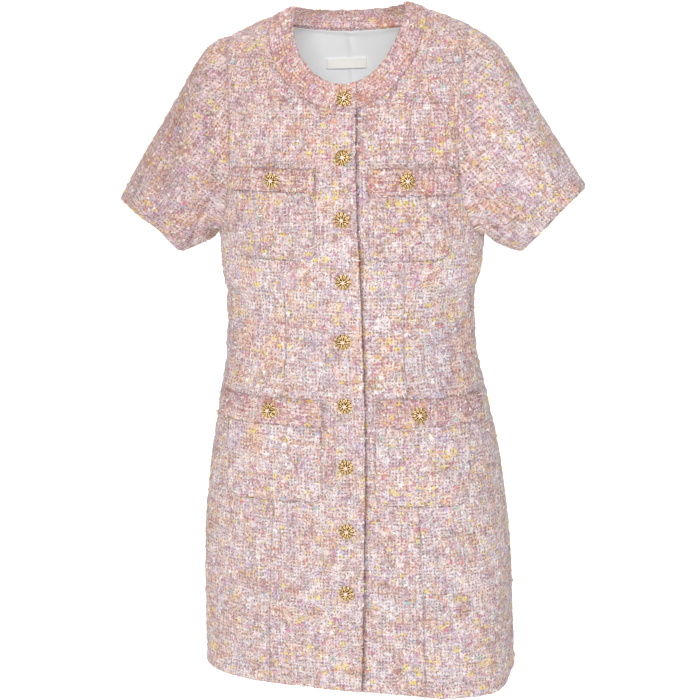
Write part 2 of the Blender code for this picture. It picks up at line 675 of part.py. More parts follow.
def button(name, mesh, from_row, z, out):
    turn, drop = front_turn(np.array([from_row]), np.array([z])), drop_of(np.array([z]))
    point, normal = on_form(turn, drop, np.array([out]))[0], outward(turn, drop)[0]
    obj = new_object(name, mesh.copy(), GOLD, 0.35, 1.0)
    obj.matrix_world = Matrix.Translation(Vector(point * MM)) @ Vector(normal).to_track_quat("Z", "Y").to_matrix().to_4x4()
    return obj


# ---------------------------------------------------------------- build
for old in list(bpy.data.objects):
    bpy.data.objects.remove(old, do_unlink=True)
PARTS = bpy.data.collections.new("tweed_dress")
bpy.context.scene.collection.children.link(PARTS)

upper = centre_front(-1, PLACKET_EDGE)
form_wall("centre_front_right", *upper, lift=lap(*upper), edges=("neck", "last", "top"))
form_wall("centre_front_left", *centre_front(1, UNDERLAP_EDGE), edges=("neck", "last", "top"))
form_wall("side_front_right", *side_front(-1), edges=("first", "last", "top"))
form_wall("side_front_left", *side_front(1), edges=("first", "last", "top"))
back_turn, back_drop = back()
form_wall("back", back_turn, back_drop, edges=("first", "last", "top"))
sleeve("sleeve_right", -1)
sleeve("sleeve_left", 1)
band_turn, band_drop, band_lift = band()
form_wall("neck_band", band_turn, band_drop, lift=band_lift, edges=("bottom",), colour=TWEED_TRIM)

# The lining lies on the back's own points, inside them, from the neck seam down to the waist
low = int(np.argmin(np.abs(z_of(back_drop[:, 0]) - WAIST)))
lining_turn, lining_drop = back_turn[low:, 1:-1].copy(), back_drop[low:, 1:-1].copy()
for rows in (lining_turn, lining_drop):
    rows[-1] += 0.12 * (rows[-2] - rows[-1])
lining_lift = np.full(lining_turn.shape, -CLOTH - LINING_GAP)
lining_lift[-1] -= LINING_TUCK
form_wall(
    "back_lining", lining_turn, lining_drop, lift=lining_lift, colour=LINING_COLOUR, thickness=LINING_WALL, roughness=0.6
)

# The label is a bare tape on the inside of the lining
x, z = np.meshgrid(
    LABEL_X + LABEL_WIDTH * np.linspace(-0.5, 0.5, 6), LABEL_Z + LABEL_HEIGHT * np.linspace(-0.5, 0.5, 3)
)
form_wall(
    "neck_label",
    turn_at(x, z, back=True),
    drop_of(z),
    lift=-CLOTH - LINING_GAP - LINING_WALL - LABEL_GAP,
    colour=LABEL_COLOUR,
    thickness=LABEL_WALL,
    roughness=0.6,
)

for word, side in (("right", -1), ("left", 1)):
    pocket("breast_pocket_" + word, side, BREAST_POCKET, 5, 8)
    pocket("hip_pocket_" + word, side, HIP_POCKET, 5, 9)
    front_piece("breast_flap_" + word, side, BREAST_FLAP, FLAP_ROWS, 8, TWEED_TRIM)
    front_piece("hip_flap_" + word, side, HIP_FLAP, FLAP_ROWS, 9, TWEED_TRIM)

turned = button_mesh()
for number, (height, from_row) in enumerate(BUTTON_ROW, 1):
    button("front_button_%d" % number, turned, from_row, height, LAP_LIFT + UNDER_BUTTON)
# the lap's own rise is small at the flap buttons, so it is taken from the form there
for number, (side, (from_row, height)) in enumerate(((-1, BREAST_BUTTON), (1, BREAST_BUTTON), (-1, HIP_BUTTON), (1, HIP_BUTTON)), 1):
    button("pocket_button_%d" % number, turned, side * from_row, height, FLAP_ROWS[0][1] + CLOTH + UNDER_BUTTON)
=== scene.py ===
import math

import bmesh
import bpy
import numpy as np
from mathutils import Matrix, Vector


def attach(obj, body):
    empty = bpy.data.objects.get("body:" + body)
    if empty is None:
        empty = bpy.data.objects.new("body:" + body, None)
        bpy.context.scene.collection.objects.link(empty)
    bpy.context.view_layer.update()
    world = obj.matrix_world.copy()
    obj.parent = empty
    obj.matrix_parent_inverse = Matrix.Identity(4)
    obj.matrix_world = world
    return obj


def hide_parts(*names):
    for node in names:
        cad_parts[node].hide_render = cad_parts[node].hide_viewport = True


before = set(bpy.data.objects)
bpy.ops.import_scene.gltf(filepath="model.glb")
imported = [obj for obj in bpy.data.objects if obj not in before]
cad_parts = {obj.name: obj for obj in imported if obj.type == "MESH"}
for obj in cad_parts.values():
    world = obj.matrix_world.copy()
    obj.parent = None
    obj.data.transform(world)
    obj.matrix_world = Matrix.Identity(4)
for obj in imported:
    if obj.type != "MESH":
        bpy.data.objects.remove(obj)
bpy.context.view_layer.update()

# The looks of a short-sleeved, button-front tweed mini dress.
#
# Sizes are in millimetres and become metres when a point is placed. +Z is up, the front faces -Y and +X is the
# wearer's left. The cloth pieces are shells on the same form as the solids they stand for: a point of the form is
# named by its turn (0 front middle, 1 wearer's left side, 2 back middle, 3 or -1 right side) and its drop (the way
# down the side of the form from the neck). Each shell has a fine outer face with the weave's own relief, a plainer
# inner face and rounded edges, and slubs and loops of thick yarn lie on it.

MM = 0.001

# ---------------------------------------------------------------- sizes
CLOTH = 2.2  # wall of the tweed
SEAM = 0.18  # what each of two sewn edges is drawn back from the seam line
LAP_LIFT = 3.3  # how far the upper front stands out over the underlap
LAP_RAMP = (-70.0, -31.0)  # where the upper front rises, across the front
PLACKET_EDGE = 17.5  # edge of the upper front at the neck, from the button row
UNDERLAP_EDGE = -26.0  # hidden edge of the lower front, from the button row
SWAY = 8.0  # the dress is turned on its form: its front middle lies this far to the wearer's left
BACK_SWAY = -16.0  # and its back middle lies to the right
LENGTH = 858.0  # from the top of the shoulder to the hem
SHOULDER_TILT = 0.028  # the wearer's left shoulder is this much higher, for each millimetre across
HEM_TILT = 5.5  # the hem's left side hangs this much lower than its middle
ARMPIT = -285.0
SHOULDER_TIP = -33.0
PRINCESS_TOP = -20.0  # height where the princess seam meets the shoulder seam
WAIST = -395.0  # lower edge of the back's lining
LINING_WALL = 1.0
LINING_GAP = 1.3
LINING_TUCK = 1.2  # how much further in the lining's top edge lies
LABEL_WIDTH, LABEL_HEIGHT, LABEL_WALL, LABEL_GAP = 54.0, 14.0, 1.0, 0.9
LABEL_X, LABEL_Z = BACK_SWAY - 6.5, -73.0
ON_PANEL = 0.6  # between a panel and the patch on it
UNDER_BUTTON = 0.4

# Rings of the form, from the neck down
FORM_COLUMNS = ("z", "half_width", "front_depth", "back_depth", "squareness", "centre_x")
FORM = (
    (0.0, 69.0, 5.0, 6.0, 2.20, 0.0),
    (-2.0, 75.0, 9.0, 40.0, 2.20, 0.0),
    (-6.0, 86.0, 17.0, 66.0, 2.20, 0.0),
    (-10.7, 98.0, 26.0, 73.0, 2.20, 0.0),
    (-20.0, 123.0, 41.0, 80.0, 2.25, 0.0),
    (-33.0, 150.0, 54.0, 86.0, 2.30, 0.0),
    (-48.0, 163.0, 65.0, 90.0, 2.35, 0.0),
    (-75.0, 171.0, 77.0, 95.0, 2.40, 0.0),
    (-103.0, 173.0, 86.0, 98.0, 2.40, 0.0),
    (-150.0, 172.0, 98.0, 102.0, 2.40, 0.0),
    (-205.0, 169.5, 107.0, 100.0, 2.40, 0.0),
    (-262.0, 168.5, 108.0, 93.0, 2.40, 0.0),
    (-315.0, 166.0, 101.0, 85.0, 2.40, -1.0),
    (-370.0, 158.5, 94.0, 79.0, 2.40, -4.0),
    (-430.0, 160.5, 94.0, 84.0, 2.50, -3.0),
    (-495.0, 172.5, 97.0, 93.0, 2.70, -1.0),
    (-580.0, 187.5, 101.0, 99.0, 2.90, 0.5),
    (-680.0, 198.5, 103.0, 99.0, 3.10, 1.0),
    (-780.0, 202.5, 103.0, 97.0, 3.30, 1.5),
    (-866.0, 203.0, 103.0, 95.0, 3.60, 3.0),
)

# The armhole: how far out it lies at each height, as a share of the form's half width, and the height where the
# same row of cloth meets the princess seam
ARMHOLE_COLUMNS = ("z", "front_reach", "back_reach", "princess_z")
ARMHOLE = (
    (-285.0, 1.000, 1.000, -285.0),
    (-276.0, 0.968, 0.972, -266.0),
    (-260.0, 0.925, 0.935, -246.0),
    (-236.0, 0.884, 0.905, -222.0),
    (-207.0, 0.848, 0.878, -195.0),
    (-175.0, 0.828, 0.862, -163.0),
    (-140.0, 0.822, 0.856, -131.0),
    (-106.0, 0.832, 0.862, -104.0),
    (-78.0, 0.854, 0.880, -82.0),
    (-56.0, 0.892, 0.910, -62.0),
    (-42.5, 0.940, 0.948, -44.0),
    (-36.0, 0.976, 0.979, -30.0),
    (-33.0, 1.000, 1.000, -20.0),
)

# The princess seam: its distance from the button row at each height
PRINCESS_COLUMNS = ("z", "from_button_row")
PRINCESS = (
    (-20.0, 123.0),
    (-33.0, 116.0),
    (-50.0, 108.0),
    (-78.0, 96.0),
    (-115.0, 87.0),
    (-195.0, 80.5),
    (-280.0, 78.5),
    (-360.0, 74.0),
    (-420.0, 73.5),
    (-470.0, 78.5),
    (-560.0, 88.0),
    (-700.0, 97.0),
    (-866.0, 102.0),
)

# Neck lines: half ellipses, one for the front and one for the back
NECK_COLUMNS = ("half_width", "side_z", "front_z", "back_z")
NECK_INNER = (69.0, 0.0, -95.0, -6.0)
NECK_OUTER = (98.0, -10.7, -125.0, -30.0)

# Rings of the wearer's right sleeve, from the armhole to the hem. The top and bottom of a ring lie in the middle
# plane of the sleeve. lean is how far a ring's front is drawn towards the body and its back away from it, and own
# is how much of the ring is the sleeve's own oval and not yet the armhole.
SLEEVE_COLUMNS = ("step", "top_x", "top_z", "bottom_x", "bottom_z", "front", "back", "lean", "own")
SLEEVE = (
    (0.00, 150.0, -33.0, 167.5, -285.0, 66.0, 64.0, 0.00, 0.0),
    (0.05, 160.0, -37.0, 170.5, -283.5, 67.0, 65.0, 0.01, 0.45),
    (0.12, 174.5, -45.0, 176.5, -287.0, 69.0, 67.0, 0.04, 0.85),
    (0.22, 193.5, -66.0, 184.0, -293.0, 71.0, 69.0, 0.08, 1.0),
    (0.40, 221.0, -108.5, 197.0, -299.5, 70.0, 69.0, 0.15, 1.0),
    (0.60, 251.5, -155.0, 208.0, -304.5, 66.0, 66.0, 0.22, 1.0),
    (0.80, 281.0, -200.0, 218.0, -308.5, 61.0, 62.0, 0.27, 1.0),
    (1.00, 307.0, -244.0, 226.0, -311.0, 57.0, 59.0, 0.30, 1.0),
)
SLEEVE_DIP = 0.10  # how much lower a sleeve ring's back hangs than its front
# What is added for the wearer's left sleeve, which hangs higher and closer
LEFT_SLEEVE_COLUMNS = ("step", "top_x", "top_z", "bottom_x", "bottom_z", "lean")
LEFT_SLEEVE = (
    (0.00, 0.0, 0.0, 0.0, 0.0, 0.00),
    (0.12, 1.5, 0.5, -1.0, 0.0, -0.04),
    (0.40, -1.0, 1.5, -3.0, 1.0, -0.17),
    (0.60, -5.5, 6.0, -4.5, 2.5, -0.25),
    (0.80, -11.0, 13.0, -7.0, 5.0, -0.31),
    (1.00, -14.0, 20.0, -8.0, 8.0, -0.34),
)

# Largest folds of the body: soft troughs (negative) and ridges down the skirt
FOLD_COLUMNS = ("turn", "top_z", "bottom_z", "lean", "half_span", "height")
FOLDS = (
    (-0.86, -640.0, -858.0, -0.03, 0.10, -2.4),
    (-0.46, -650.0, -858.0, 0.05, 0.12, 1.6),
    (0.50, -650.0, -858.0, -0.04, 0.12, 1.8),
    (0.88, -640.0, -858.0, 0.02, 0.10, -2.6),
    (1.42, -430.0, -858.0, 0.05, 0.13, -3.4),
    (1.80, -560.0, -858.0, -0.03, 0.14, 2.8),
    (2.30, -450.0, -858.0, 0.04, 0.14, -3.2),
    (2.70, -540.0, -858.0, -0.04, 0.13, 2.6),
)
# Largest folds of the sleeves. around is 0 at the top, 1 in front, 2 under the arm and 3 behind
SLEEVE_FOLD_COLUMNS = ("side", "around_from", "step_from", "around_to", "step_to", "half_span", "height")
SLEEVE_FOLDS = (
    (-1, 0.45, 0.25, 1.12, 1.00, 0.24, -6.0),
    (-1, 0.95, 0.25, 1.55, 1.00, 0.22, 3.0),
    (-1, 2.95, 0.30, 3.25, 1.00, 0.28, -4.5),
    (1, 1.40, 0.25, 1.05, 1.00, 0.26, -3.2),
    (1, 0.60, 0.35, 0.50, 1.00, 0.24, 2.0),
    (1, 2.80, 0.30, 3.10, 1.00, 0.28, -4.5),
)

# Pockets and flaps: their edges' distances from the button row, and their heights. The dress is turned on its
# form, so those on the wearer's left (side 1) stand a little further round
POCKET_COLUMNS = ("inner", "outer", "top_z", "bottom_z", "corner")
BREAST_POCKET = {-1: (31.5, 129.0, -203.0, -305.0, 15.0), 1: (34.5, 131.0, -204.0, -305.0, 15.0)}
HIP_POCKET = {-1: (30.0, 150.0, -491.0, -611.0, 15.0), 1: (38.0, 156.0, -489.0, -611.0, 15.0)}
BREAST_FLAP = {-1: (29.0, 133.0, -194.0, -222.0, 4.0), 1: (34.0, 138.0, -194.0, -226.0, 4.0)}
HIP_FLAP = {-1: (27.0, 155.0, -480.0, -513.0, 4.0), 1: (36.0, 165.0, -477.0, -511.0, 4.0)}
# A flap's rows: how far down it, and how far off the panel
FLAP_ROWS = ((1.0, 4.3), (0.24, 4.0), (0.0, 0.6))

# How much further over the upper front's edge lies below the neck
PLACKET_COLUMNS = ("z", "further")
PLACKET = (
    (-130.0, 0.0),
    (-200.0, 1.8),
    (-290.0, 3.2),
    (-384.0, 4.2),
    (-478.0, 6.8),
    (-545.0, 7.6),
    (-700.0, 5.2),
    (-866.0, 0.0),
)

# Buttons: the front row, sewn on a little unevenly, and the buttons on the flaps
BUTTON_COLUMNS = ("z", "from_row")
BUTTON_ROW = (
    (-113.0, 3.5),
    (-181.0, 3.6),
    (-254.0, 2.8),
    (-330.0, 1.2),
    (-406.0, -1.2),
    (-486.0, 1.0),
    (-563.0, 1.8),
    (-645.0, 2.2),
    (-726.0, 0.4),
)
BREAST_BUTTON = (80.5, -208.0)
HIP_BUTTON = (93.0, -496.0)
# The turned body of a button: radius and height over the cloth
BUTTON_PROFILE = ((0.0, 5.8), (7.0, 4.7), (11.0, 2.4), (10.4, 1.3), (3.4, 1.0), (3.2, 0.0), (0.0, 0.0))
BUTTON_STEPS = 14

# How coarsely the seam lines are laid out before they are made fine
SIDE_ROWS = 14
NECK_ROWS = 7
CENTRE_COLUMNS = 8
SIDE_COLUMNS = 5
BAND_ROWS = 2
BACK_NECK_COLUMNS = 10
QUARTER_SPAN = 190.0
RELAX_ROUNDS = 300

# Creases of the body, each a soft trough (negative) or ridge from one point to another: turn and height of its two
# ends, how wide it is and how high, in millimetres
CREASE_COLUMNS = ("turn_a", "z_a", "turn_b", "z_b", "half_width", "height")
CREASES = (
    # from the armholes across the chest
    (-0.93, -215.0, -0.52, -262.0, 13.0, -2.2),
    (-0.88, -250.0, -0.60, -330.0, 12.0, -1.8),
    (0.93, -210.0, 0.60, -250.0, 12.0, -2.0),
    (0.95, -255.0, 0.66, -318.0, 13.0, -2.2),
    (-0.72, -70.0, -0.55, -165.0, 12.0, -1.2),
    (0.70, -75.0, 0.52, -150.0, 13.0, -1.2),
    # round the waist
    (-1.00, -352.0, -0.50, -384.0, 10.0, -2.0),
    (-0.98, -402.0, -0.55, -398.0, 9.0, -1.5),
    (0.52, -372.0, 1.00, -346.0, 10.0, -1.9),
    (0.60, -412.0, 1.00, -398.0, 11.0, 1.2),
    (-0.30, -398.0, -0.02, -414.0, 9.0, -0.9),
    # down the skirt
    (-0.70, -640.0, -0.74, -858.0, 20.0, -2.0),
    (-0.20, -660.0, -0.25, -858.0, 22.0, 1.5),
    (0.22, -640.0, 0.30, -858.0, 20.0, -1.6),
    (0.72, -625.0, 0.70, -858.0, 20.0, -2.4),
    # the back: shoulder blades to the waist, the hollow of the waist, and the skirt
    (1.30, -120.0, 1.55, -300.0, 16.0, -2.0),
    (2.72, -110.0, 2.42, -310.0, 16.0, -2.2),
    (1.12, -300.0, 1.50, -372.0, 11.0, -2.6),
    (2.90, -290.0, 2.50, -366.0, 11.0, -2.4),
    (1.55, -395.0, 2.15, -378.0, 10.0, -2.4),
    (2.05, -418.0, 2.62, -400.0, 10.0, -1.8),
    (1.15, -430.0, 1.42, -455.0, 11.0, -1.8),
    (1.95, -560.0, 2.02, -858.0, 24.0, -2.2),
    (1.20, -660.0, 1.16, -858.0, 18.0, 1.8),
    (2.62, -600.0, 2.70, -858.0, 22.0, -2.4),
)

SLEEVE_RUN = 165.0  # about the length of a sleeve's front
# Creases of the sleeves, from one point to another. around and step are as for the sleeves' largest folds
SLEEVE_CREASE_COLUMNS = ("side", "around_a", "step_a", "around_b", "step_b", "half_width", "height")
SLEEVE_CREASES = (
    # the wearer's right sleeve: one deep trough from the shoulder to the cuff, a ridge before it, small ones below
    (-1, 0.58, 0.22, 0.86, 0.37, 8.0, -3.4),
    (-1, 0.86, 0.37, 1.22, 0.44, 8.5, -3.8),
    (-1, 0.78, 0.13, 1.25, 0.13, 9.0, 2.0),
    (-1, 0.60, 0.55, 0.86, 0.92, 11.0, 1.6),
    (-1, 1.42, 0.08, 1.70, 0.60, 8.0, -2.6),
    (-1, 0.20, 0.30, 0.42, 0.95, 10.0, -1.4),
    (-1, 1.80, 0.30, 1.62, 1.00, 9.0, 1.6),
    (-1, 3.60, 0.15, 3.30, 0.90, 9.0, -2.6),
    (-1, 2.60, 0.20, 2.80, 0.85, 9.0, -2.0),
    # the wearer's left sleeve
    (1, 1.38, 0.06, 1.22, 0.70, 8.0, -2.4),
    (1, 1.66, 0.05, 1.50, 0.55, 8.0, -2.6),
    (1, 0.95, 0.30, 0.86, 1.00, 10.0, 1.2),
    (1, 0.30, 0.20, 0.34, 0.90, 10.0, -1.2),
    (1, 3.55, 0.12, 3.35, 0.95, 9.0, -2.8),
    (1, 2.55, 0.20, 2.75, 0.80, 9.0, -2.0),
)

# The weave
YARN = 4.3  # from one thick yarn to the next, both ways
YARN_RISE = 0.9  # how far a thick yarn stands over the gaps
LUMPS = 0.5  # unevenness of the boucle
WAVES = 0.85  # and its larger waves
EDGE_ROLL = 0.9  # how far a free edge rounds down
SEAM_DEPTH, SEAM_REACH = 0.6, 3.0  # the valley along a seam
HEM_DEPTH, HEM_WALL = 30.0, 1.3  # the turned-up hem inside, and how much thicker the cloth is there

# ---------------------------------------------------------------- curves through table rows
def column(table, columns, name):
    return np.array([row[columns.index(name)] for row in table], float)


class Through:
    """A smooth curve through the rows of a table that doesn't overshoot between them."""

    def __init__(self, x, y):
        order = np.argsort(x)
        self.x, self.y = np.asarray(x, float)[order], np.asarray(y, float)[order]
        h, d = np.diff(self.x), np.diff(self.y) / np.diff(self.x)
        m = np.zeros(len(self.x))
        for i in range(1, len(m) - 1):
            if d[i - 1] * d[i] > 0:
                w1, w2 = 2 * h[i] + h[i - 1], h[i] + 2 * h[i - 1]
                m[i] = (w1 + w2) / (w1 / d[i - 1] + w2 / d[i])
        m[0], m[-1] = d[0], d[-1]
        self.slope = m

    def __call__(self, at):
        at = np.clip(np.asarray(at, float), self.x[0], self.x[-1])
        i = np.clip(np.searchsorted(self.x, at) - 1, 0, len(self.x) - 2)
        h = self.x[i + 1] - self.x[i]
        t = (at - self.x[i]) / h
        return (
            (2 * t**3 - 3 * t**2 + 1) * self.y[i]
            + (t**3 - 2 * t**2 + t) * h * self.slope[i]
            + (3 * t**2 - 2 * t**3) * self.y[i + 1]
            + (t**3 - t**2) * h * self.slope[i + 1]
        )


def smooth(t):
    t = np.clip(t, 0.0, 1.0)
    return t * t * (3 - 2 * t)


def unit(v):
    return v / np.maximum(np.linalg.norm(v, axis=-1, keepdims=True), 1e-9)


FORM_Z = column(FORM, FORM_COLUMNS, "z")
form_at = {n: Through(FORM_Z, column(FORM, FORM_COLUMNS, n)) for n in FORM_COLUMNS[1:]}

# Drop: the way down the side of the form, so that rows stay evenly spaced over the shoulder
STEPS_Z = FORM_Z[-1] * np.linspace(0, 1, 900) ** 1.6
STEPS_DROP = np.append(0, np.cumsum(np.hypot(np.diff(STEPS_Z), np.diff(form_at["half_width"](STEPS_Z)))))


def drop_of(z):
    return np.interp(-np.asarray(z, float), -STEPS_Z, STEPS_DROP)


def z_of(drop):
    return np.interp(drop, STEPS_DROP, STEPS_Z)


# ---------------------------------------------------------------- the form
QUARTER = np.linspace(0.0, math.pi / 2, 49)


def quarter_ring(z, back):
    """Points of a quarter of each ring, from its middle to its side, and the share of its length at each."""
    a = form_at["half_width"](z)[:, None]
    b = np.where(back, form_at["back_depth"](z), form_at["front_depth"](z))[:, None]
    n = form_at["squareness"](z)[:, None]
    s, c = np.sin(QUARTER)[None, :], np.cos(QUARTER)[None, :]
    r = ((s / a) ** n + (c / b) ** n) ** (-1 / n)
    x, y = r * s, r * c
    length = np.hypot(np.diff(x, axis=1), np.diff(y, axis=1)).cumsum(axis=1)
    share = np.concatenate([np.zeros((len(z), 1)), length / length[:, -1:]], axis=1)
    return x, y, share


def row_interp(at, xs, ys):
    """Interpolates each row of ys at its own value of xs."""
    i = np.clip((xs <= at[:, None]).sum(axis=1) - 1, 0, xs.shape[1] - 2)
    k = np.arange(len(at))
    x0, x1 = xs[k, i], xs[k, i + 1]
    t = (at - x0) / np.maximum(x1 - x0, 1e-12)
    return ys[k, i] + (ys[k, i + 1] - ys[k, i]) * t


def bare(turn, drop):
    """A point of the form without its folds."""
    turn, drop = np.broadcast_arrays(np.asarray(turn, float), np.asarray(drop, float))
    shape = turn.shape
    turn, z = turn.ravel(), z_of(drop.ravel())
    turn = np.where(turn < -1, turn + 4, np.where(turn > 3, turn - 4, turn))
    back = turn > 1
    away = np.where(back, np.abs(turn - 2), np.abs(turn))
    sign = np.where(back, np.sign(2 - turn), np.sign(turn))
    x, y, share = quarter_ring(z, back)
    px = row_interp(away, share, x) * sign + form_at["centre_x"](z)
    py = row_interp(away, share, y) * np.where(back, 1.0, -1.0)
    pz = z + SHOULDER_TILT * px * smooth(1 + z / 230.0)
    return np.stack([px, py, pz], axis=-1).reshape(shape + (3,))


def outward(turn, drop):
    turn, drop = np.broadcast_arrays(np.asarray(turn, float), np.asarray(drop, float))
    e, h = 0.012, 1.5
    across = bare(turn + e, drop) - bare(turn - e, drop)
    along = bare(turn, np.maximum(drop - h, 0.0)) - bare(turn, drop + h)
    return unit(np.cross(across, along))


def turn_at(x, z, back=False):
    """The turn of a point of the form from its x."""
    x, z = np.broadcast_arrays(np.asarray(x, float), np.asarray(z, float))
    shape, x, z = x.shape, x.ravel(), z.ravel()
    x = x - form_at["centre_x"](z)
    a = form_at["half_width"](z)
    b = form_at["back_depth" if back else "front_depth"](z)
    n = form_at["squareness"](z)
    y = b * (1 - np.clip(np.abs(x) / a, 0, 1) ** n) ** (1 / n)
    share = quarter_ring(z, np.full(len(z), back))[2]
    away = row_interp(np.arctan2(np.minimum(np.abs(x), a), y), np.broadcast_to(QUARTER, share.shape), share)
    away = np.minimum(away, 1.0) * np.sign(x)
    return (2 - away if back else away).reshape(shape)


def front_turn(from_row, z):
    """The turn of a front point from its distance to the button row."""
    reach = np.clip(np.abs(from_row) / form_at["half_width"](z), 0, 1)
    return turn_at(from_row + SWAY * (1 - reach**2), z)


def lap(turn, drop):
    """How far the upper front stands out, so that it clears the underlap."""
    from_row = bare(turn, drop)[..., 0] - SWAY
    return LAP_LIFT * smooth((from_row - LAP_RAMP[0]) / (LAP_RAMP[1] - LAP_RAMP[0]))


# ---------------------------------------------------------------- seam lines, each a run of turns and drops
def rows_of_drop(name):
    """Drops of the body's rows from the hem up, on the armhole or on the princess seam."""
    above = drop_of(column(ARMHOLE, ARMHOLE_COLUMNS, name))
    return np.concatenate([np.linspace(drop_of(-LENGTH), above[0], SIDE_ROWS + 1)[:-1], above])


def side_line(side, back):
    """Side seam and armhole, on the wearer's left (1) or right (-1)."""
    drop = rows_of_drop("z")
    reach = np.ones(len(drop))
    reach[SIDE_ROWS:] = column(ARMHOLE, ARMHOLE_COLUMNS, "back_reach" if back else "front_reach")
    z = z_of(drop)
    sway = 0.0 if back else SWAY * (1 - reach**2)
    turn = turn_at(side * reach * form_at["half_width"](z) + sway + form_at["centre_x"](z), z, back)
    turn[reach == 1] = side if not back else 2 - side
    return turn, drop


def princess_line(side):
    drop = rows_of_drop("princess_z")
    z = z_of(drop)
    from_row = Through(
        column(PRINCESS, PRINCESS_COLUMNS, "z"), column(PRINCESS, PRINCESS_COLUMNS, "from_button_row")
    )(z)
    turn = front_turn(side * from_row, z)
    turn[-1] = side
    return turn, drop


def neck_front(neck, side, edge):
    """A neck line from the front edge round to the shoulder seam."""
    half, side_z, front_z, _ = neck
    angle = math.acos(side * edge / half) * np.linspace(1.0, 0.0, NECK_ROWS + 1) ** 1.25
    z = side_z + (front_z - side_z) * np.sin(angle)
    turn = front_turn(side * half * np.cos(angle), z)
    turn[-1] = side
    return turn, drop_of(z)


def neck_back(neck):
    """A neck line round the back, from the wearer's left shoulder to the right."""
    half, side_z, _, back_z = neck
    angle = np.linspace(0.0, math.pi, BACK_NECK_COLUMNS + 1)
    z = side_z + (back_z - side_z) * np.sin(angle)
    turn = turn_at(half * np.cos(angle), z, back=True)
    turn[0], turn[-1] = 1.0, 3.0
    return turn, drop_of(z)


def between(first, last, columns):
    """A grid ruled between two seam lines."""
    u = np.linspace(0, 1, columns + 1)[None, :]
    return hem_tilted(*(a[:, None] * (1 - u) + b[:, None] * u for a, b in zip(first, last)))


def hem_tilted(turn, drop):
    drop[0] = drop_of(-LENGTH - HEM_TILT * np.sin(turn[0] * math.pi / 2))
    return turn, drop


def relax(turn, drop):
    """Evens out the inner points of a grid between its seam lines, so that no row or column crosses another."""
    p = np.stack([turn * QUARTER_SPAN, drop])
    for _ in range(RELAX_ROUNDS):
        left, right, below, above = p[:, 1:-1, :-2], p[:, 1:-1, 2:], p[:, :-2, 1:-1], p[:, 2:, 1:-1]
        across, along = (right - left) / 2, (above - below) / 2
        twist = (p[:, 2:, 2:] - p[:, 2:, :-2] - p[:, :-2, 2:] + p[:, :-2, :-2]) / 2
        a, b, c = (along**2).sum(0), (across * along).sum(0), (across**2).sum(0)
        p[:, 1:-1, 1:-1] = (a * (left + right) + c * (below + above) - b * twist) / (2 * (a + c))
    return p[0] / QUARTER_SPAN, p[1]


placket_further = Through(column(PLACKET, PLACKET_COLUMNS, "z"), column(PLACKET, PLACKET_COLUMNS, "further"))


def centre_front(side, edge):
    """Ruled from the front edge and the neck seam above it to the princess seam."""
    neck = neck_front(NECK_OUTER, side, edge)
    armpit, neck_rows = drop_of(ARMPIT), len(neck[0]) - 1
    above = len(ARMHOLE) - 1 - neck_rows
    drop = np.concatenate(
        [np.linspace(drop_of(-LENGTH), armpit, SIDE_ROWS + 1)[:-1], np.linspace(armpit, neck[1][0], above + 1)[:-1], neck[1]]
    )
    line = edge + (placket_further(z_of(drop)) if side < 0 else np.zeros(len(drop)))
    straight = front_turn(line, z_of(drop))[: -neck_rows - 1]
    return between((np.concatenate([straight, neck[0]]), drop), princess_line(side), CENTRE_COLUMNS)


def side_front(side):
    return between(princess_line(side), side_line(side, False), SIDE_COLUMNS)


def back():
    neck = neck_back(NECK_OUTER)
    seam = np.linspace(drop_of(SHOULDER_TIP), drop_of(PRINCESS_TOP), SIDE_COLUMNS + 1)
    top = (
        np.concatenate([np.full(len(seam), 1.0), neck[0], np.full(len(seam), 3.0)]),
        np.concatenate([seam, neck[1], seam[::-1]]),
    )
    first, last = side_line(1, True), side_line(-1, True)
    u = np.linspace(0, 1, len(top[0]))[None, :]
    start = SIDE_ROWS - 4  # the top line's shape fades in from this row up
    late = smooth((np.arange(len(first[0])) - start) / (len(first[0]) - 1 - start))[:, None]
    grid = []
    for a, b, t in zip(first, last, top):
        straight = a[:, None] * (1 - u) + b[:, None] * u
        grid.append(straight + late * (t - straight[-1])[None, :])
    return hem_tilted(*relax(*grid))


def band():
    """The neck band, from the underlap round the wearer's left and the back to the front edge."""
    lines = []
    for neck in (NECK_OUTER, NECK_INNER):
        left, behind, right = neck_front(neck, 1, UNDERLAP_EDGE), neck_back(neck), neck_front(neck, -1, PLACKET_EDGE)
        turn = np.concatenate([left[0], behind[0][1:], right[0][::-1][1:] + 4])
        lines.append((turn, np.concatenate([left[1], behind[1][1:], right[1][::-1][1:]])))
    v = np.linspace(0, 1, BAND_ROWS + 1)[:, None]
    turn, drop = (lines[0][k] * (1 - v) + lines[1][k] * v for k in (0, 1))
    lift = np.where(np.arange(turn.shape[1]) > NECK_ROWS + BACK_NECK_COLUMNS, lap(turn, drop), 0.0)
    return turn, drop, lift


def sleeve_curves(side):
    steps = column(SLEEVE, SLEEVE_COLUMNS, "step")
    curves = {}
    for name in SLEEVE_COLUMNS[1:]:
        value = column(SLEEVE, SLEEVE_COLUMNS, name)
        if side > 0 and name in LEFT_SLEEVE_COLUMNS:
            more = Through(
                column(LEFT_SLEEVE, LEFT_SLEEVE_COLUMNS, "step"), column(LEFT_SLEEVE, LEFT_SLEEVE_COLUMNS, name)
            )
            value = value + more(steps)
        curves[name] = Through(steps, value)
    return curves


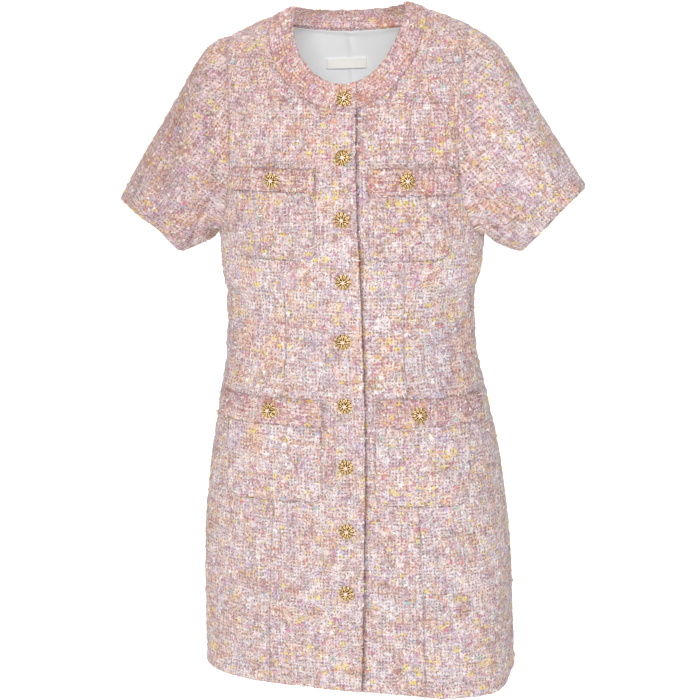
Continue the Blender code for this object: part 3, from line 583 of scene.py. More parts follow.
def sleeve_oval(side, around, step, curves):
    """A point of the sleeve's own ring."""
    t = {n: curves[n](step) for n in SLEEVE_COLUMNS[1:]}
    c, s = np.cos(around * math.pi / 2), np.sin(around * math.pi / 2)
    x = (t["top_x"] + t["bottom_x"]) / 2 + (t["top_x"] - t["bottom_x"]) / 2 * c
    z = (t["top_z"] + t["bottom_z"]) / 2 + (t["top_z"] - t["bottom_z"]) / 2 * c
    forward = np.where(s > 0, t["front"], t["back"]) * s
    return np.stack([side * (x - t["lean"] * forward), -forward, z + SLEEVE_DIP * smooth(step * 2) * forward], axis=-1)



# ---------------------------------------------------------------- folds and creases
def fold_height(turn, drop):
    z = z_of(drop)
    total = np.zeros(np.broadcast(turn, drop).shape)
    for at, top, bottom, lean, half, height in FOLDS:
        fall = np.clip((top - z) / (top - bottom), 0.0, 1.0)
        away = (turn - at - lean * fall + 2) % 4 - 2
        total = total + height * np.exp(-((away / half) ** 2)) * smooth(fall * 1.4)
    for turn_a, z_a, turn_b, z_b, half, height in CREASES:
        run = np.array([(turn_b - turn_a) * QUARTER_SPAN, drop_of(z_b) - drop_of(z_a)])
        length = float(np.hypot(*run))
        dx = ((turn - turn_a + 2) % 4 - 2) * QUARTER_SPAN
        dy = drop - drop_of(z_a)
        t = (dx * run[0] + dy * run[1]) / length**2
        off = (dx * run[1] - dy * run[0]) / length - 0.05 * length * np.sin(np.clip(t, 0, 1) * math.pi)
        ends = smooth((t + 0.22) / 0.4) * smooth((1.22 - t) / 0.4)
        total = total + height * np.exp(-((off / half) ** 2)) * ends
    return total


def on_form(turn, drop, out=0.0):
    """A point on the form with its folds, moved out from it."""
    return bare(turn, drop) + outward(turn, drop) * (fold_height(turn, drop) + out)[..., None]


def sleeve_fold(side, around, step, rings):
    """Folds of a sleeve. rings is a quarter of the way round it, in millimetres."""
    total = np.zeros(np.broadcast(around, step).shape)
    for fold_side, a0, s0, a1, s1, half, height in SLEEVE_FOLDS:
        if fold_side == side:
            t = np.clip((step - s0) / (s1 - s0), 0, 1)
            away = (around - a0 - (a1 - a0) * t + 2) % 4 - 2
            total = total + height * np.exp(-((away / half) ** 2)) * smooth((step - s0 + 0.12) / 0.35)
    for fold_side, a0, s0, a1, s1, half, height in SLEEVE_CREASES:
        if fold_side == side:
            over, down = (a1 - a0) * rings, (s1 - s0) * SLEEVE_RUN
            dx, dy = ((around - a0 + 2) % 4 - 2) * rings, (step - s0) * SLEEVE_RUN
            length = np.hypot(over, down)
            t, off = (dx * over + dy * down) / length**2, (dx * down - dy * over) / length
            ends = smooth((t + 0.2) / 0.4) * smooth((1.25 - t) / 0.4)
            total = total + height * np.exp(-((off / half) ** 2)) * ends
    return total * smooth(step / 0.12)


# ---------------------------------------------------------------- fine grids
def through(values, at, to, corners=()):
    """Smooth curves down the columns of a grid, whose rows lie at `at`, read at `to`. They may turn sharply in the
    rows that are corners."""
    if corners:
        out = np.empty((len(to),) + values.shape[1:])
        for a, b in zip((0,) + tuple(corners), tuple(corners) + (len(at) - 1,)):
            part = (to >= at[a] - 1e-9) & (to <= at[b] + 1e-9)
            out[part] = through(values[a : b + 1], at[a : b + 1], to[part])
        return out
    h = np.diff(at)[:, None]
    d = np.diff(values, axis=0) / h
    m = np.zeros(values.shape)
    w1, w2 = 2 * h[1:] + h[:-1], h[1:] + 2 * h[:-1]
    same = d[:-1] * d[1:] > 0
    safe0, safe1 = np.where(same, d[:-1], 1.0), np.where(same, d[1:], 1.0)
    m[1:-1] = np.where(same, (w1 + w2) / (w1 / safe0 + w2 / safe1), 0.0)
    m[0], m[-1] = d[0], d[-1]
    i = np.clip(np.searchsorted(at, to) - 1, 0, len(at) - 2)
    h = (at[i + 1] - at[i])[:, None]
    t = ((to - at[i])[:, None] / h).clip(0, 1)
    return (
        (2 * t**3 - 3 * t**2 + 1) * values[i]
        + (t**3 - 2 * t**2 + t) * h * m[i]
        + (3 * t**2 - 2 * t**3) * values[i + 1]
        + (t**3 - t**2) * h * m[i + 1]
    )


def even_steps(points, spacing, corners=()):
    """Where a grid's rows lie, from its first, evenly spaced places between its first and last, and the corners."""
    run = np.append(0.0, np.cumsum(np.linalg.norm(np.diff(points, axis=0), axis=2).mean(axis=1)))
    to = [np.zeros(1)]
    for a, b in zip((0,) + tuple(corners), tuple(corners) + (len(run) - 1,)):
        count = INNER_STEP * max(int(round((run[b] - run[a]) / spacing / INNER_STEP)), 1)
        to.append(np.linspace(run[a], run[b], count + 1)[1:])
    return run, np.concatenate(to), corners


def finer(turn, drop, spacing, row_corners=(), column_corners=()):
    """A fine grid through a coarse grid of turns and drops, and where its rows and columns lie among the coarse."""
    points = on_form(turn, drop)
    down = even_steps(points, spacing, row_corners)
    across = even_steps(points.transpose(1, 0, 2), spacing, column_corners)
    turn, drop = (through(through(g, *down).T, *across).T for g in (turn, drop))
    return turn, drop, *(np.interp(to, at, np.arange(len(at))) for at, to, _ in (down, across))


def neck_front_at(neck, side, edge, share):
    """Points of a neck line from the front edge (0) round to the shoulder seam (1)."""
    half, side_z, front_z, _ = neck
    angle = math.acos(side * edge / half) * (1 - share) ** 1.25
    z = side_z + (front_z - side_z) * np.sin(angle)
    return np.where(share > 0.9999, side, front_turn(side * half * np.cos(angle), z)), drop_of(z)


def neck_back_at(neck, share):
    """Points of a neck line round the back, from the wearer's left shoulder (0) to the right (1)."""
    half, side_z, _, back_z = neck
    angle = math.pi * share
    z = side_z + (back_z - side_z) * np.sin(angle)
    turn = turn_at(half * np.cos(angle), z, back=True)
    return np.where(share < 0.0001, 1.0, np.where(share > 0.9999, 3.0, turn)), drop_of(z)


# The way across and down the cloth at each turn and drop, so that yarns keep their spacing
MAP_TURNS = np.linspace(-1.0, 3.0, 241)
MAP_DROPS = np.linspace(0.0, STEPS_DROP[-1], 330)
MAP_POINTS = bare(MAP_TURNS[None, :], MAP_DROPS[:, None])
MAP_ACROSS = np.pad(np.linalg.norm(np.diff(MAP_POINTS, axis=1), axis=2).cumsum(axis=1), ((0, 0), (1, 0)))
MAP_DOWN = np.pad(np.linalg.norm(np.diff(MAP_POINTS, axis=0), axis=2).cumsum(axis=0), ((1, 0), (0, 0)))


def on_map(values, turn, drop):
    a = np.clip((turn - MAP_TURNS[0]) / (MAP_TURNS[1] - MAP_TURNS[0]), 0, len(MAP_TURNS) - 1.001)
    b = np.clip((drop - MAP_DROPS[0]) / (MAP_DROPS[1] - MAP_DROPS[0]), 0, len(MAP_DROPS) - 1.001)
    i, j = b.astype(int), a.astype(int)
    s, t = b - i, a - j
    return (values[i, j] * (1 - t) + values[i, j + 1] * t) * (1 - s) + (
        values[i + 1, j] * (1 - t) + values[i + 1, j + 1] * t
    ) * s


def cloth_grain(turn, drop, middle):
    """Place in the flat cloth: across from the grain line, which runs down the form at one turn, and up."""
    across = on_map(MAP_ACROSS, turn, drop) - on_map(MAP_ACROSS, np.zeros(np.shape(turn)) + middle, drop)
    waist = np.zeros(np.shape(turn)) + drop_of(WAIST)
    return np.stack([across, on_map(MAP_DOWN, turn, waist) - on_map(MAP_DOWN, turn, drop)], axis=-1)


# ---------------------------------------------------------------- the weave's relief
def chance(i, j, seed):
    """A repeatable number between 0 and 1 for each pair of whole numbers."""
    x = np.sin(i * 127.1 + j * 311.7 + seed * 74.7) * 43758.5453
    return x - np.floor(x)


def drift(u, v, seed):
    """Smooth unevenness between -1 and 1."""
    i, j = np.floor(u), np.floor(v)
    s, t = smooth(u - i), smooth(v - j)
    low = chance(i, j, seed) * (1 - s) + chance(i + 1, j, seed) * s
    high = chance(i, j + 1, seed) * (1 - s) + chance(i + 1, j + 1, seed) * s
    return 2 * (low * (1 - t) + high * t) - 1


def relief(weave, seed):
    """Height of the thick yarns over the cloth's own face: over and under each other, uneven and lumpy."""
    u, v = weave[..., 0], weave[..., 1]
    u, v = u + 1.2 * drift(u / 11, v / 15, seed + 1), v + 1.2 * drift(u / 15, v / 11, seed + 2)
    i, j = np.floor(u / YARN), np.floor(v / YARN)
    fu, fv = u / YARN - i, v / YARN - j
    warp = (1 - (2 * fu - 1) ** 2) * (0.5 + 0.5 * np.sin(math.pi * (v / YARN + i))) * (0.65 + 0.6 * chance(i, np.floor(v / 11), seed + 3))
    weft = (1 - (2 * fv - 1) ** 2) * (0.5 - 0.5 * np.sin(math.pi * (u / YARN + j))) * (0.65 + 0.6 * chance(np.floor(u / 11), j, seed + 4))
    yarn = np.maximum(warp, weft) - 0.45
    return YARN_RISE * yarn + LUMPS * drift(u / 2.7, v / 2.7, seed + 5) + WAVES * drift(u / 6.5, v / 6.5, seed + 6)


# ---------------------------------------------------------------- shells of cloth
INNER_STEP = 3  # the inner face has one row for this many of the outer face's
SEAM_GAP = 0.06  # between two shells at a seam
EDGE_SLUBS = 3.0  # how many more slubs there are along a folded edge


def from_edges(points):
    """The way along the cloth from each of a grid's four edges."""
    across = np.pad(np.linalg.norm(np.diff(points, axis=1), axis=2).cumsum(axis=1), ((0, 0), (1, 0)))
    down = np.pad(np.linalg.norm(np.diff(points, axis=0), axis=2).cumsum(axis=0), ((1, 0), (0, 0)))
    return {"first": across, "last": across[:, -1:] - across, "bottom": down, "top": down[-1:] - down}


def rows_of_kind(kind, wanted, rows):
    """Which rows of an edge are of a kind. A kind is a word, or two words and the row where one becomes the other."""
    if isinstance(kind, str):
        return np.full(rows, kind == wanted)
    low, high, corner = kind
    return np.where(np.arange(rows) < corner, low == wanted, high == wanted)


def edge_profile(away, kinds):
    """How a shell's outer face falls towards its edges: into the valley of a seam, or round a folded edge."""
    total = np.zeros(away["first"].shape)
    for edge, kind in kinds.items():
        seam, fold = (rows_of_kind(kind, word, len(total))[:, None] for word in ("seam", "fold"))
        total -= seam * SEAM_DEPTH * np.exp(-((away[edge] / SEAM_REACH) ** 2))
        total -= fold * EDGE_ROLL * np.exp(-((away[edge] / 1.5) ** 2))
        total += fold * 0.55 * np.exp(-(((away[edge] - 6.0) / 4.0) ** 2))
    return total


def border(rows, columns):
    """The rows and columns of a grid's edge points, all the way round."""
    r = [np.zeros(columns - 1), np.arange(rows - 1), np.full(columns - 1, rows - 1), np.arange(rows - 1, 0, -1)]
    c = [np.arange(columns - 1), np.full(rows - 1, columns - 1), np.arange(columns - 1, 0, -1), np.zeros(rows - 1)]
    return np.concatenate(r).astype(int), np.concatenate(c).astype(int)


def beyond(points, kinds):
    """At each edge point, the way out of the cloth along it, of length 1 at folded edges and 0 at seams."""
    out = np.zeros(points.shape)
    for edge, (at, inside) in {
        "first": (np.s_[:, 0], np.s_[:, 1]),
        "last": (np.s_[:, -1], np.s_[:, -2]),
        "bottom": (np.s_[0], np.s_[1]),
        "top": (np.s_[-1], np.s_[-2]),
    }.items():
        way = unit(points[at] - points[inside])
        out[at] += way * rows_of_kind(kinds[edge], "fold", len(way))[:, None]
    return out


def new_piece(name, mesh, slot, material):
    obj = bpy.data.objects.new(name, mesh)
    bpy.context.scene.collection.objects.link(obj)
    mesh.materials.append(material)
    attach(obj, "root")
    return obj


def point_numbers(mesh, name, kind, values):
    """Stores a number or vector at each of a mesh's points, for its material."""
    layer = mesh.attributes.new(name, kind, "POINT")
    layer.data.foreach_set("vector" if kind == "FLOAT_VECTOR" else "value", np.asarray(values, np.float32).ravel())


def fold_distance(away, kinds):
    """The way along the cloth to the nearest folded edge."""
    total = np.full(away["first"].shape, 99.0)
    for edge, kind in kinds.items():
        fold = rows_of_kind(kind, "fold", len(total))[:, None]
        total = np.where(fold, np.minimum(total, away[edge]), total)
    return total


def valley_shade(away, kinds):
    """Painted shade: how deep in a seam's valley each point lies, where little light reaches between the yarns, and a
    little along folded edges.
    """
    total = np.zeros(away["first"].shape)
    for edge, kind in kinds.items():
        seam, fold = (rows_of_kind(kind, word, len(total))[:, None] for word in ("seam", "fold"))
        total += seam * 0.12 * np.exp(-((away[edge] / 2.2) ** 2)) + fold * 0.05 * np.exp(-((away[edge] / 1.4) ** 2))
    return np.clip(total, 0, 1)


def cloth(
    name,
    points,
    normals,
    weave,
    kinds,
    material,
    slot,
    seed,
    thickness=CLOTH,
    hem=0.0,
    both=False,
    rise=1.0,
    shade=None,
    rim_shade=0.2,
    roll=0.0,
    glow=0.0,
):
    """A closed shell of cloth: a fine outer face on a grid of points, an inner face and rounded edges.
    kinds says what each edge is: seam, fold or flush. hem is how deep the turned-up cloth inside the bottom is.
    both gives the inner face the outer's fineness and relief. shade is painted shade laid on its outer face over that
    of its seams, and roll how much further its folded edges are pressed down. rim_shade is the least painted shade on
    its rims. glow is painted light: how brightly its inner face glows, standing in for light that comes through the
    cloth.
    Returns the object and its outer face's points."""
    rows, columns = points.shape[:2]
    step = 1 if both else INNER_STEP
    away = from_edges(points)
    profile = edge_profile(away, kinds) - roll * np.exp(-((fold_distance(away, kinds) / 2.6) ** 2))
    out = beyond(points, kinds)
    # a folded edge of boucle isn't straight: yarns stand out from it
    nubs = 0.75 * drift(weave[..., 0] / 3.3, weave[..., 1] / 3.3, seed + 8) + 0.3 * drift(weave[..., 0] / 8, weave[..., 1] / 8, seed + 9)
    points = points + out * (rise * nubs)[..., None]
    outer = points + normals * (profile + rise * relief(weave, seed))[..., None]
    outer -= out * 0.35 * thickness
    depth = np.full((rows, columns), float(thickness))
    if hem:
        depth += HEM_WALL * smooth((hem - away["bottom"]) / 2.5 + 0.5)
    inner_full = points - normals * depth[..., None] - out * 0.35 * thickness
    if both:
        inner_full = inner_full - normals * (rise * relief(weave[:, ::-1], seed + 20) + 0.3 * profile)[..., None]
    inner = inner_full[::step, ::step]
    r, c = border(rows, columns)
    rim = points[r, c] - normals[r, c] * (0.5 * depth[r, c])[:, None] + out[r, c] * 0.12 * thickness
    count = rows * columns
    inner_rows, inner_columns = inner.shape[:2]
    rim_at = count + inner_rows * inner_columns
    verts = np.concatenate([outer.reshape(-1, 3), inner.reshape(-1, 3), rim]) * MM

    def quads(start, rows, columns, flip):
        i = start + (np.arange(rows - 1)[:, None] * columns + np.arange(columns - 1)[None, :]).ravel()
        four = [i, i + 1, i + columns + 1, i + columns]
        return np.stack(four[::-1] if flip else four, axis=1)

    faces = [quads(0, rows, columns, False), quads(count, inner_rows, inner_columns, True)]
    ring = len(r)
    edge = r * columns + c
    k = np.arange(ring)
    faces.append(np.stack([edge[k], rim_at + k, rim_at + (k + 1) % ring, edge[(k + 1) % ring]], axis=1))
    inner_edge = count + (r // step) * inner_columns + c // step
    faces = [f.tolist() for f in faces]
    faces = faces[0] + faces[1] + faces[2]
    corners = [k for k in range(ring) if (r[k] % step == 0) and (c[k] % step == 0)]
    for a, b in zip(corners, corners[1:] + [ring]):
        faces.append(
            [rim_at + m % ring for m in range(a, b + 1)] + [int(inner_edge[b % ring]), int(inner_edge[a])]
        )
    mesh = bpy.data.meshes.new(name)
    mesh.from_pydata(verts.tolist(), [], faces)
    bm = bmesh.new()
    bm.from_mesh(mesh)
    bmesh.ops.recalc_face_normals(bm, faces=bm.faces[:])
    bm.to_mesh(mesh)
    bm.free()
    mesh.shade_smooth()
    places = np.concatenate([weave.reshape(-1, 2), weave[::step, ::step].reshape(-1, 2) + 37.0, weave[r, c]])
    point_numbers(mesh, "weave", "FLOAT_VECTOR", np.column_stack([places, np.full(len(places), seed * 1.0)]))
    shade = valley_shade(away, kinds) if shade is None else np.clip(valley_shade(away, kinds) + shade, 0, 1)
    # painted shade on the outer face and the rims, and a painted glow on the inner face, stored as negative shade
    shades = np.concatenate([shade.ravel(), np.full(inner.shape[0] * inner.shape[1], -glow), np.maximum(shade[r, c], rim_shade)])
    point_numbers(mesh, "shade", "FLOAT", shades)
    obj = new_piece(name + "_cloth", mesh, slot, material)
    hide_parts(name)
    return obj, outer


def draw_back(points, normals, edges, neck_row=0):
    """Draws the named edges of a grid back from their seam lines, along the cloth."""
    moved = points.copy()
    for edge in edges:
        at, beside = {
            "first": (np.s_[:, 0], np.s_[:, 1]),
            "last": (np.s_[:, -1], np.s_[:, -2]),
            "bottom": (np.s_[0], np.s_[1]),
            "top": (np.s_[-1], np.s_[-2]),
            "neck": (np.s_[neck_row:, 0], np.s_[neck_row:, 1]),
        }[edge]
        into = unit(np.cross(normals[at], np.gradient(points[at], axis=0)))
        into *= np.sign(np.einsum("ij,ij->i", into, points[beside] - points[at]))[:, None]
        moved[at] += into * SEAM_GAP
    return moved


def flat_cut(weave, points):
    """The size of a piece's flat cut, its width and length, and its area, in metres and square metres."""
    span = np.ptp(weave.reshape(-1, 2), axis=0)
    across, down = points[1:, 1:] - points[:-1, :-1], points[1:, :-1] - points[:-1, 1:]
    area = np.linalg.norm(np.cross(across, down), axis=2).sum() / 2
    return (float(span[0]) * MM, float(span[1]) * MM), min(float(area) * MM * MM, float(span[0] * span[1]) * MM * MM)


def declare(obj, weave, points):
    size, area = flat_cut(weave, points)


# ---------------------------------------------------------------- slubs and loops of thick yarn
SLUB_SIDES, SLUB_RINGS = 5, 4


def slubs(name, outer, normals, weave, density, seed, kinds, material, slot, leave_out=None):
    """Short swollen lengths of yarn that lie on a shell's outer face, along its yarns. density is how many there
    are in 100 square millimetres. More of them stand out along its folded edges."""
    rng = np.random.default_rng(seed)
    rows, columns = outer.shape[:2]
    across, down = outer[1:, 1:] - outer[:-1, :-1], outer[1:, :-1] - outer[:-1, 1:]
    area = np.linalg.norm(np.cross(across, down), axis=2) / 2
    if leave_out is not None:
        area[leave_out[:-1, :-1]] = 0
    plain = area.sum()
    fold = np.zeros(area.shape, bool)
    for edge, at in (("first", np.s_[:, :1]), ("last", np.s_[:, -1:]), ("bottom", np.s_[:1]), ("top", np.s_[-1:])):
        if edge in ("first", "last"):
            fold[at] |= rows_of_kind(kinds[edge], "fold", rows)[:-1, None]
            area[at] *= rows_of_kind(kinds[edge], "fold", rows)[:-1, None]
        else:
            fold[at] |= kinds[edge] == "fold"
            area[at] *= kinds[edge] == "fold"
    area[fold] *= 1 + EDGE_SLUBS / density
    count = int(area.sum() / 100 * density)
    assert plain > 0
    cell = rng.choice(area.size, count, p=area.ravel() / area.sum())
    r, c = cell // (columns - 1), cell % (columns - 1)
    s, t = rng.random((2, count))

    def at(g):
        a = g[r, c] * (1 - t)[:, None] + g[r, c + 1] * t[:, None]
        b = g[r + 1, c] * (1 - t)[:, None] + g[r + 1, c + 1] * t[:, None]
        return a * (1 - s)[:, None] + b * s[:, None]

    place, normal = at(outer), unit(at(normals))
    # the cloth's own two ways, from how its places change over the grid
    wide = 2
    r0, r1, c0, c1 = (np.clip(x, 0, m) for x, m in ((r - wide, rows - 1), (r + wide, rows - 1), (c - wide, columns - 1), (c + wide, columns - 1)))
    pc, pr = outer[r, c1] - outer[r, c0], outer[r1, c] - outer[r0, c]
    wc, wr = weave[r, c1] - weave[r, c0], weave[r1, c] - weave[r0, c]
    angle = np.where(rng.random(count) < 0.55, math.pi / 2, 0.0) + rng.normal(0, 0.15, count)
    du, dv = np.cos(angle), np.sin(angle)
    det = wc[:, 0] * wr[:, 1] - wc[:, 1] * wr[:, 0]
    det = np.where(np.abs(det) < 1e-9, 1e-9, det)
    a, b = (du * wr[:, 1] - dv * wr[:, 0]) / det, (dv * wc[:, 0] - du * wc[:, 1]) / det
    along = pc * a[:, None] + pr * b[:, None]
    along = unit(along - normal * np.einsum("ij,ij->i", along, normal)[:, None])
    aside = np.cross(normal, along)

    thick = rng.random(count) < 0.5  # swollen slubs, and thinner loops
    length = np.where(thick, rng.uniform(2.8, 5.4, count), rng.uniform(4.5, 8.5, count))
    radius = np.where(thick, rng.uniform(0.8, 1.4, count), rng.uniform(0.5, 0.8, count))
    rise = np.where(thick, rng.uniform(0.3, 0.9, count), rng.uniform(0.7, 1.7, count))
    bend = np.where(thick, rng.uniform(-0.4, 0.4, count), rng.uniform(-0.9, 0.9, count))
    stops = np.array([0.0, 0.14, 0.38, 0.64, 0.87, 1.0])
    swell = np.array([0.0, 0.72, 1.05, 1.0, 0.70, 0.0])
    rings = []
    for t_k, w_k in zip(stops, swell):
        centre = (
            place
            + along * (length * (t_k - 0.5))[:, None]
            + aside * (bend * math.sin(2 * math.pi * t_k))[:, None]
            + normal * (rise * (1 - (2 * t_k - 1) ** 2) - 0.25 - 0.35 * (2 * t_k - 1) ** 2)[:, None]
        )
        if w_k == 0.0:
            rings.append(centre[:, None, :])
            continue
        around = 2 * math.pi * (np.arange(SLUB_SIDES)[None, :] + rng.random((count, 1))) / SLUB_SIDES
        width = radius[:, None] * w_k * rng.uniform(0.85, 1.15, (count, SLUB_SIDES))
        rings.append(
            centre[:, None, :]
            + aside[:, None, :] * (width * np.cos(around))[..., None]
            + normal[:, None, :] * (0.8 * width * np.sin(around))[..., None]
        )
    verts = np.concatenate(rings, axis=1)
    each = verts.shape[1]
    m = SLUB_SIDES
    one = [[0, 1 + (k + 1) % m, 1 + k] for k in range(m)]
    for ring in range(SLUB_RINGS - 1):
        a0, b0 = 1 + ring * m, 1 + (ring + 1) * m
        for k in range(m):
            one.append([a0 + k, a0 + (k + 1) % m, b0 + (k + 1) % m])
            one.append([a0 + k, b0 + (k + 1) % m, b0 + k])
    last = 1 + (SLUB_RINGS - 1) * m
    one += [[each - 1, last + k, last + (k + 1) % m] for k in range(m)]
    faces = (np.arange(count)[:, None, None] * each + np.array(one)[None]).reshape(-1, 3)
    mesh = bpy.data.meshes.new(name)
    mesh.from_pydata((verts.reshape(-1, 3) * MM).tolist(), [], faces.tolist())
    mesh.shade_smooth()
    yarn = np.repeat(rng.random(count), each)
    point_numbers(mesh, "yarn", "FLOAT", yarn)
    along_places = np.repeat(at(weave), each, axis=0)
    point_numbers(mesh, "weave", "FLOAT_VECTOR", np.column_stack([along_places, yarn * 50]))
    return new_piece(name, mesh, slot, material)


# ---------------------------------------------------------------- materials
def linear(red, green, blue):
    """A colour given as it shows, from 0 to 255, as the shader wants it."""
    c = np.array([red, green, blue], float) / 255
    return tuple(np.where(c <= 0.04045, c / 12.92, ((c + 0.055) / 1.055) ** 2.4)) + (1.0,)


class Graph:
    """Builds the nodes of one material."""

    def __init__(self, name):
        self.material = bpy.data.materials.new(name)
        self.material.use_nodes = True
        self.tree = self.material.node_tree
        self.shader = self.tree.nodes["Principled BSDF"]

    def put(self, socket, value):
        if isinstance(value, bpy.types.NodeSocket):
            self.tree.links.new(value, socket)
        else:
            socket.default_value = value

    def add(self, kind, **settings):
        node = self.tree.nodes.new(kind)
        for key, value in settings.items():
            setattr(node, key, value)
        return node

    def math(self, operation, *values, clamp=False):
        node = self.add("ShaderNodeMath", operation=operation, use_clamp=clamp)
        for socket, value in zip(node.inputs, values):
            self.put(socket, value)
        return node.outputs[0]

    def vector(self, x=0.0, y=0.0, z=0.0):
        node = self.add("ShaderNodeCombineXYZ")
        for socket, value in zip(node.inputs, (x, y, z)):
            self.put(socket, value)
        return node.outputs[0]

    def attribute(self, name):
        return self.add("ShaderNodeAttribute", attribute_type="GEOMETRY", attribute_name=name)

    def split(self, vector):
        node = self.add("ShaderNodeSeparateXYZ")
        self.put(node.inputs[0], vector)
        return node.outputs

    def white(self, x, y=0.0):
        node = self.add("ShaderNodeTexWhiteNoise", noise_dimensions="2D")
        self.put(node.inputs["Vector"], self.vector(x, y))
        return node.outputs

    def noise(self, vector, scale, detail=2.0, roughness=0.5):
        node = self.add("ShaderNodeTexNoise", noise_dimensions="3D")
        self.put(node.inputs["Vector"], vector)
        for key, value in (("Scale", scale), ("Detail", detail), ("Roughness", roughness)):
            self.put(node.inputs[key], value)
        return node.outputs

    def steps(self, value, low, high):
        """0 below low, 1 above high, smooth between."""
        node = self.add("ShaderNodeMapRange", interpolation_type="SMOOTHSTEP")
        for key, v in (("Value", value), ("From Min", low), ("From Max", high)):
            self.put(node.inputs[key], v)
        return node.outputs[0]

    def ramp(self, value, stops, interpolation="CONSTANT"):
        """stops are (share of the whole, colour) in turn."""
        node = self.add("ShaderNodeValToRGB")
        ramp = node.color_ramp
        ramp.interpolation = interpolation
        total, at = sum(s for s, _ in stops), 0.0
        for k, (share, colour) in enumerate(stops):
            element = ramp.elements[0] if k == 0 else ramp.elements.new(at)
            element.position, element.color = at, linear(*colour)
            at += share / total
        while len(ramp.elements) > len(stops):
            ramp.elements.remove(ramp.elements[-1])
        self.put(node.inputs[0], value)
        return node.outputs[0]

    def mix(self, factor, a, b, blend="MIX"):
        node = self.add("ShaderNodeMix", data_type="RGBA", blend_type=blend)
        self.put(node.inputs[0], factor)
        self.put(node.inputs[6], a)
        self.put(node.inputs[7], b)
        return node.outputs[2]

    def bump(self, height, strength, distance):
        node = self.add("ShaderNodeBump")
        self.put(node.inputs["Strength"], strength)
        self.put(node.inputs["Distance"], distance)
        self.put(node.inputs["Height"], height)
        self.put(self.shader.inputs["Normal"], node.outputs[0])


# Yarn colours as they show: how much there is of each
WARM = (
    (22, (246, 232, 224)),
    (20, (238, 210, 204)),
    (16, (230, 192, 188)),
    (10, (222, 178, 176)),
    (8, (236, 206, 190)),
    (8, (206, 178, 174)),
    (4, (210, 156, 158)),
    (8, (252, 244, 240)),
    (2, (232, 200, 132)),
    (1, (226, 166, 130)),
)
COOL = (
    (24, (242, 234, 234)),
    (20, (232, 210, 214)),
    (16, (212, 198, 210)),
    (10, (224, 186, 196)),
    (12, (200, 188, 188)),
    (6, (204, 170, 182)),
    (6, (224, 222, 230)),
    (3, (194, 204, 198)),
    (3, (200, 194, 216)),
)
TRIM_WARM = (
    (16, (240, 220, 210)),
    (20, (232, 196, 190)),
    (18, (222, 176, 172)),
    (14, (208, 152, 152)),
    (9, (228, 186, 166)),
    (10, (192, 152, 152)),
    (6, (198, 130, 132)),
    (3, (230, 196, 128)),
)
TRIM_COOL = (
    (18, (238, 226, 224)),
    (20, (228, 198, 200)),
    (16, (204, 184, 196)),
    (14, (214, 168, 178)),
    (14, (190, 170, 172)),
    (8, (192, 148, 164)),
    (3, (190, 200, 194)),
)
SPOTS = (
    (40, (240, 218, 116)),
    (8, (234, 190, 134)),
    (6, (228, 160, 136)),
    (11, (212, 126, 148)),
    (12, (216, 152, 184)),
    (8, (198, 182, 214)),
    (5, (184, 206, 196)),
    (3, (174, 192, 208)),
    (10, (254, 250, 246)),
)
SLUB_COLOURS = (
    (34, (250, 242, 236)),
    (24, (238, 212, 208)),
    (16, (238, 206, 100)),
    (3, (234, 182, 110)),
    (3, (226, 150, 120)),
    (5, (214, 136, 142)),
    (6, (220, 172, 186)),
    (5, (206, 192, 216)),
    (2, (180, 206, 194)),
    (7, (208, 176, 178)),
)
# painted shade: the colour mixed in wherever the shade attribute darkens the cloth
PAINTED_SHADE_TINT = (156, 104, 92)  # where little light reaches between the yarns
BODY_DYE, TRIM_DYE = (239, 240, 243), (243, 241, 242)
BLUSH = (253, 245, 244)


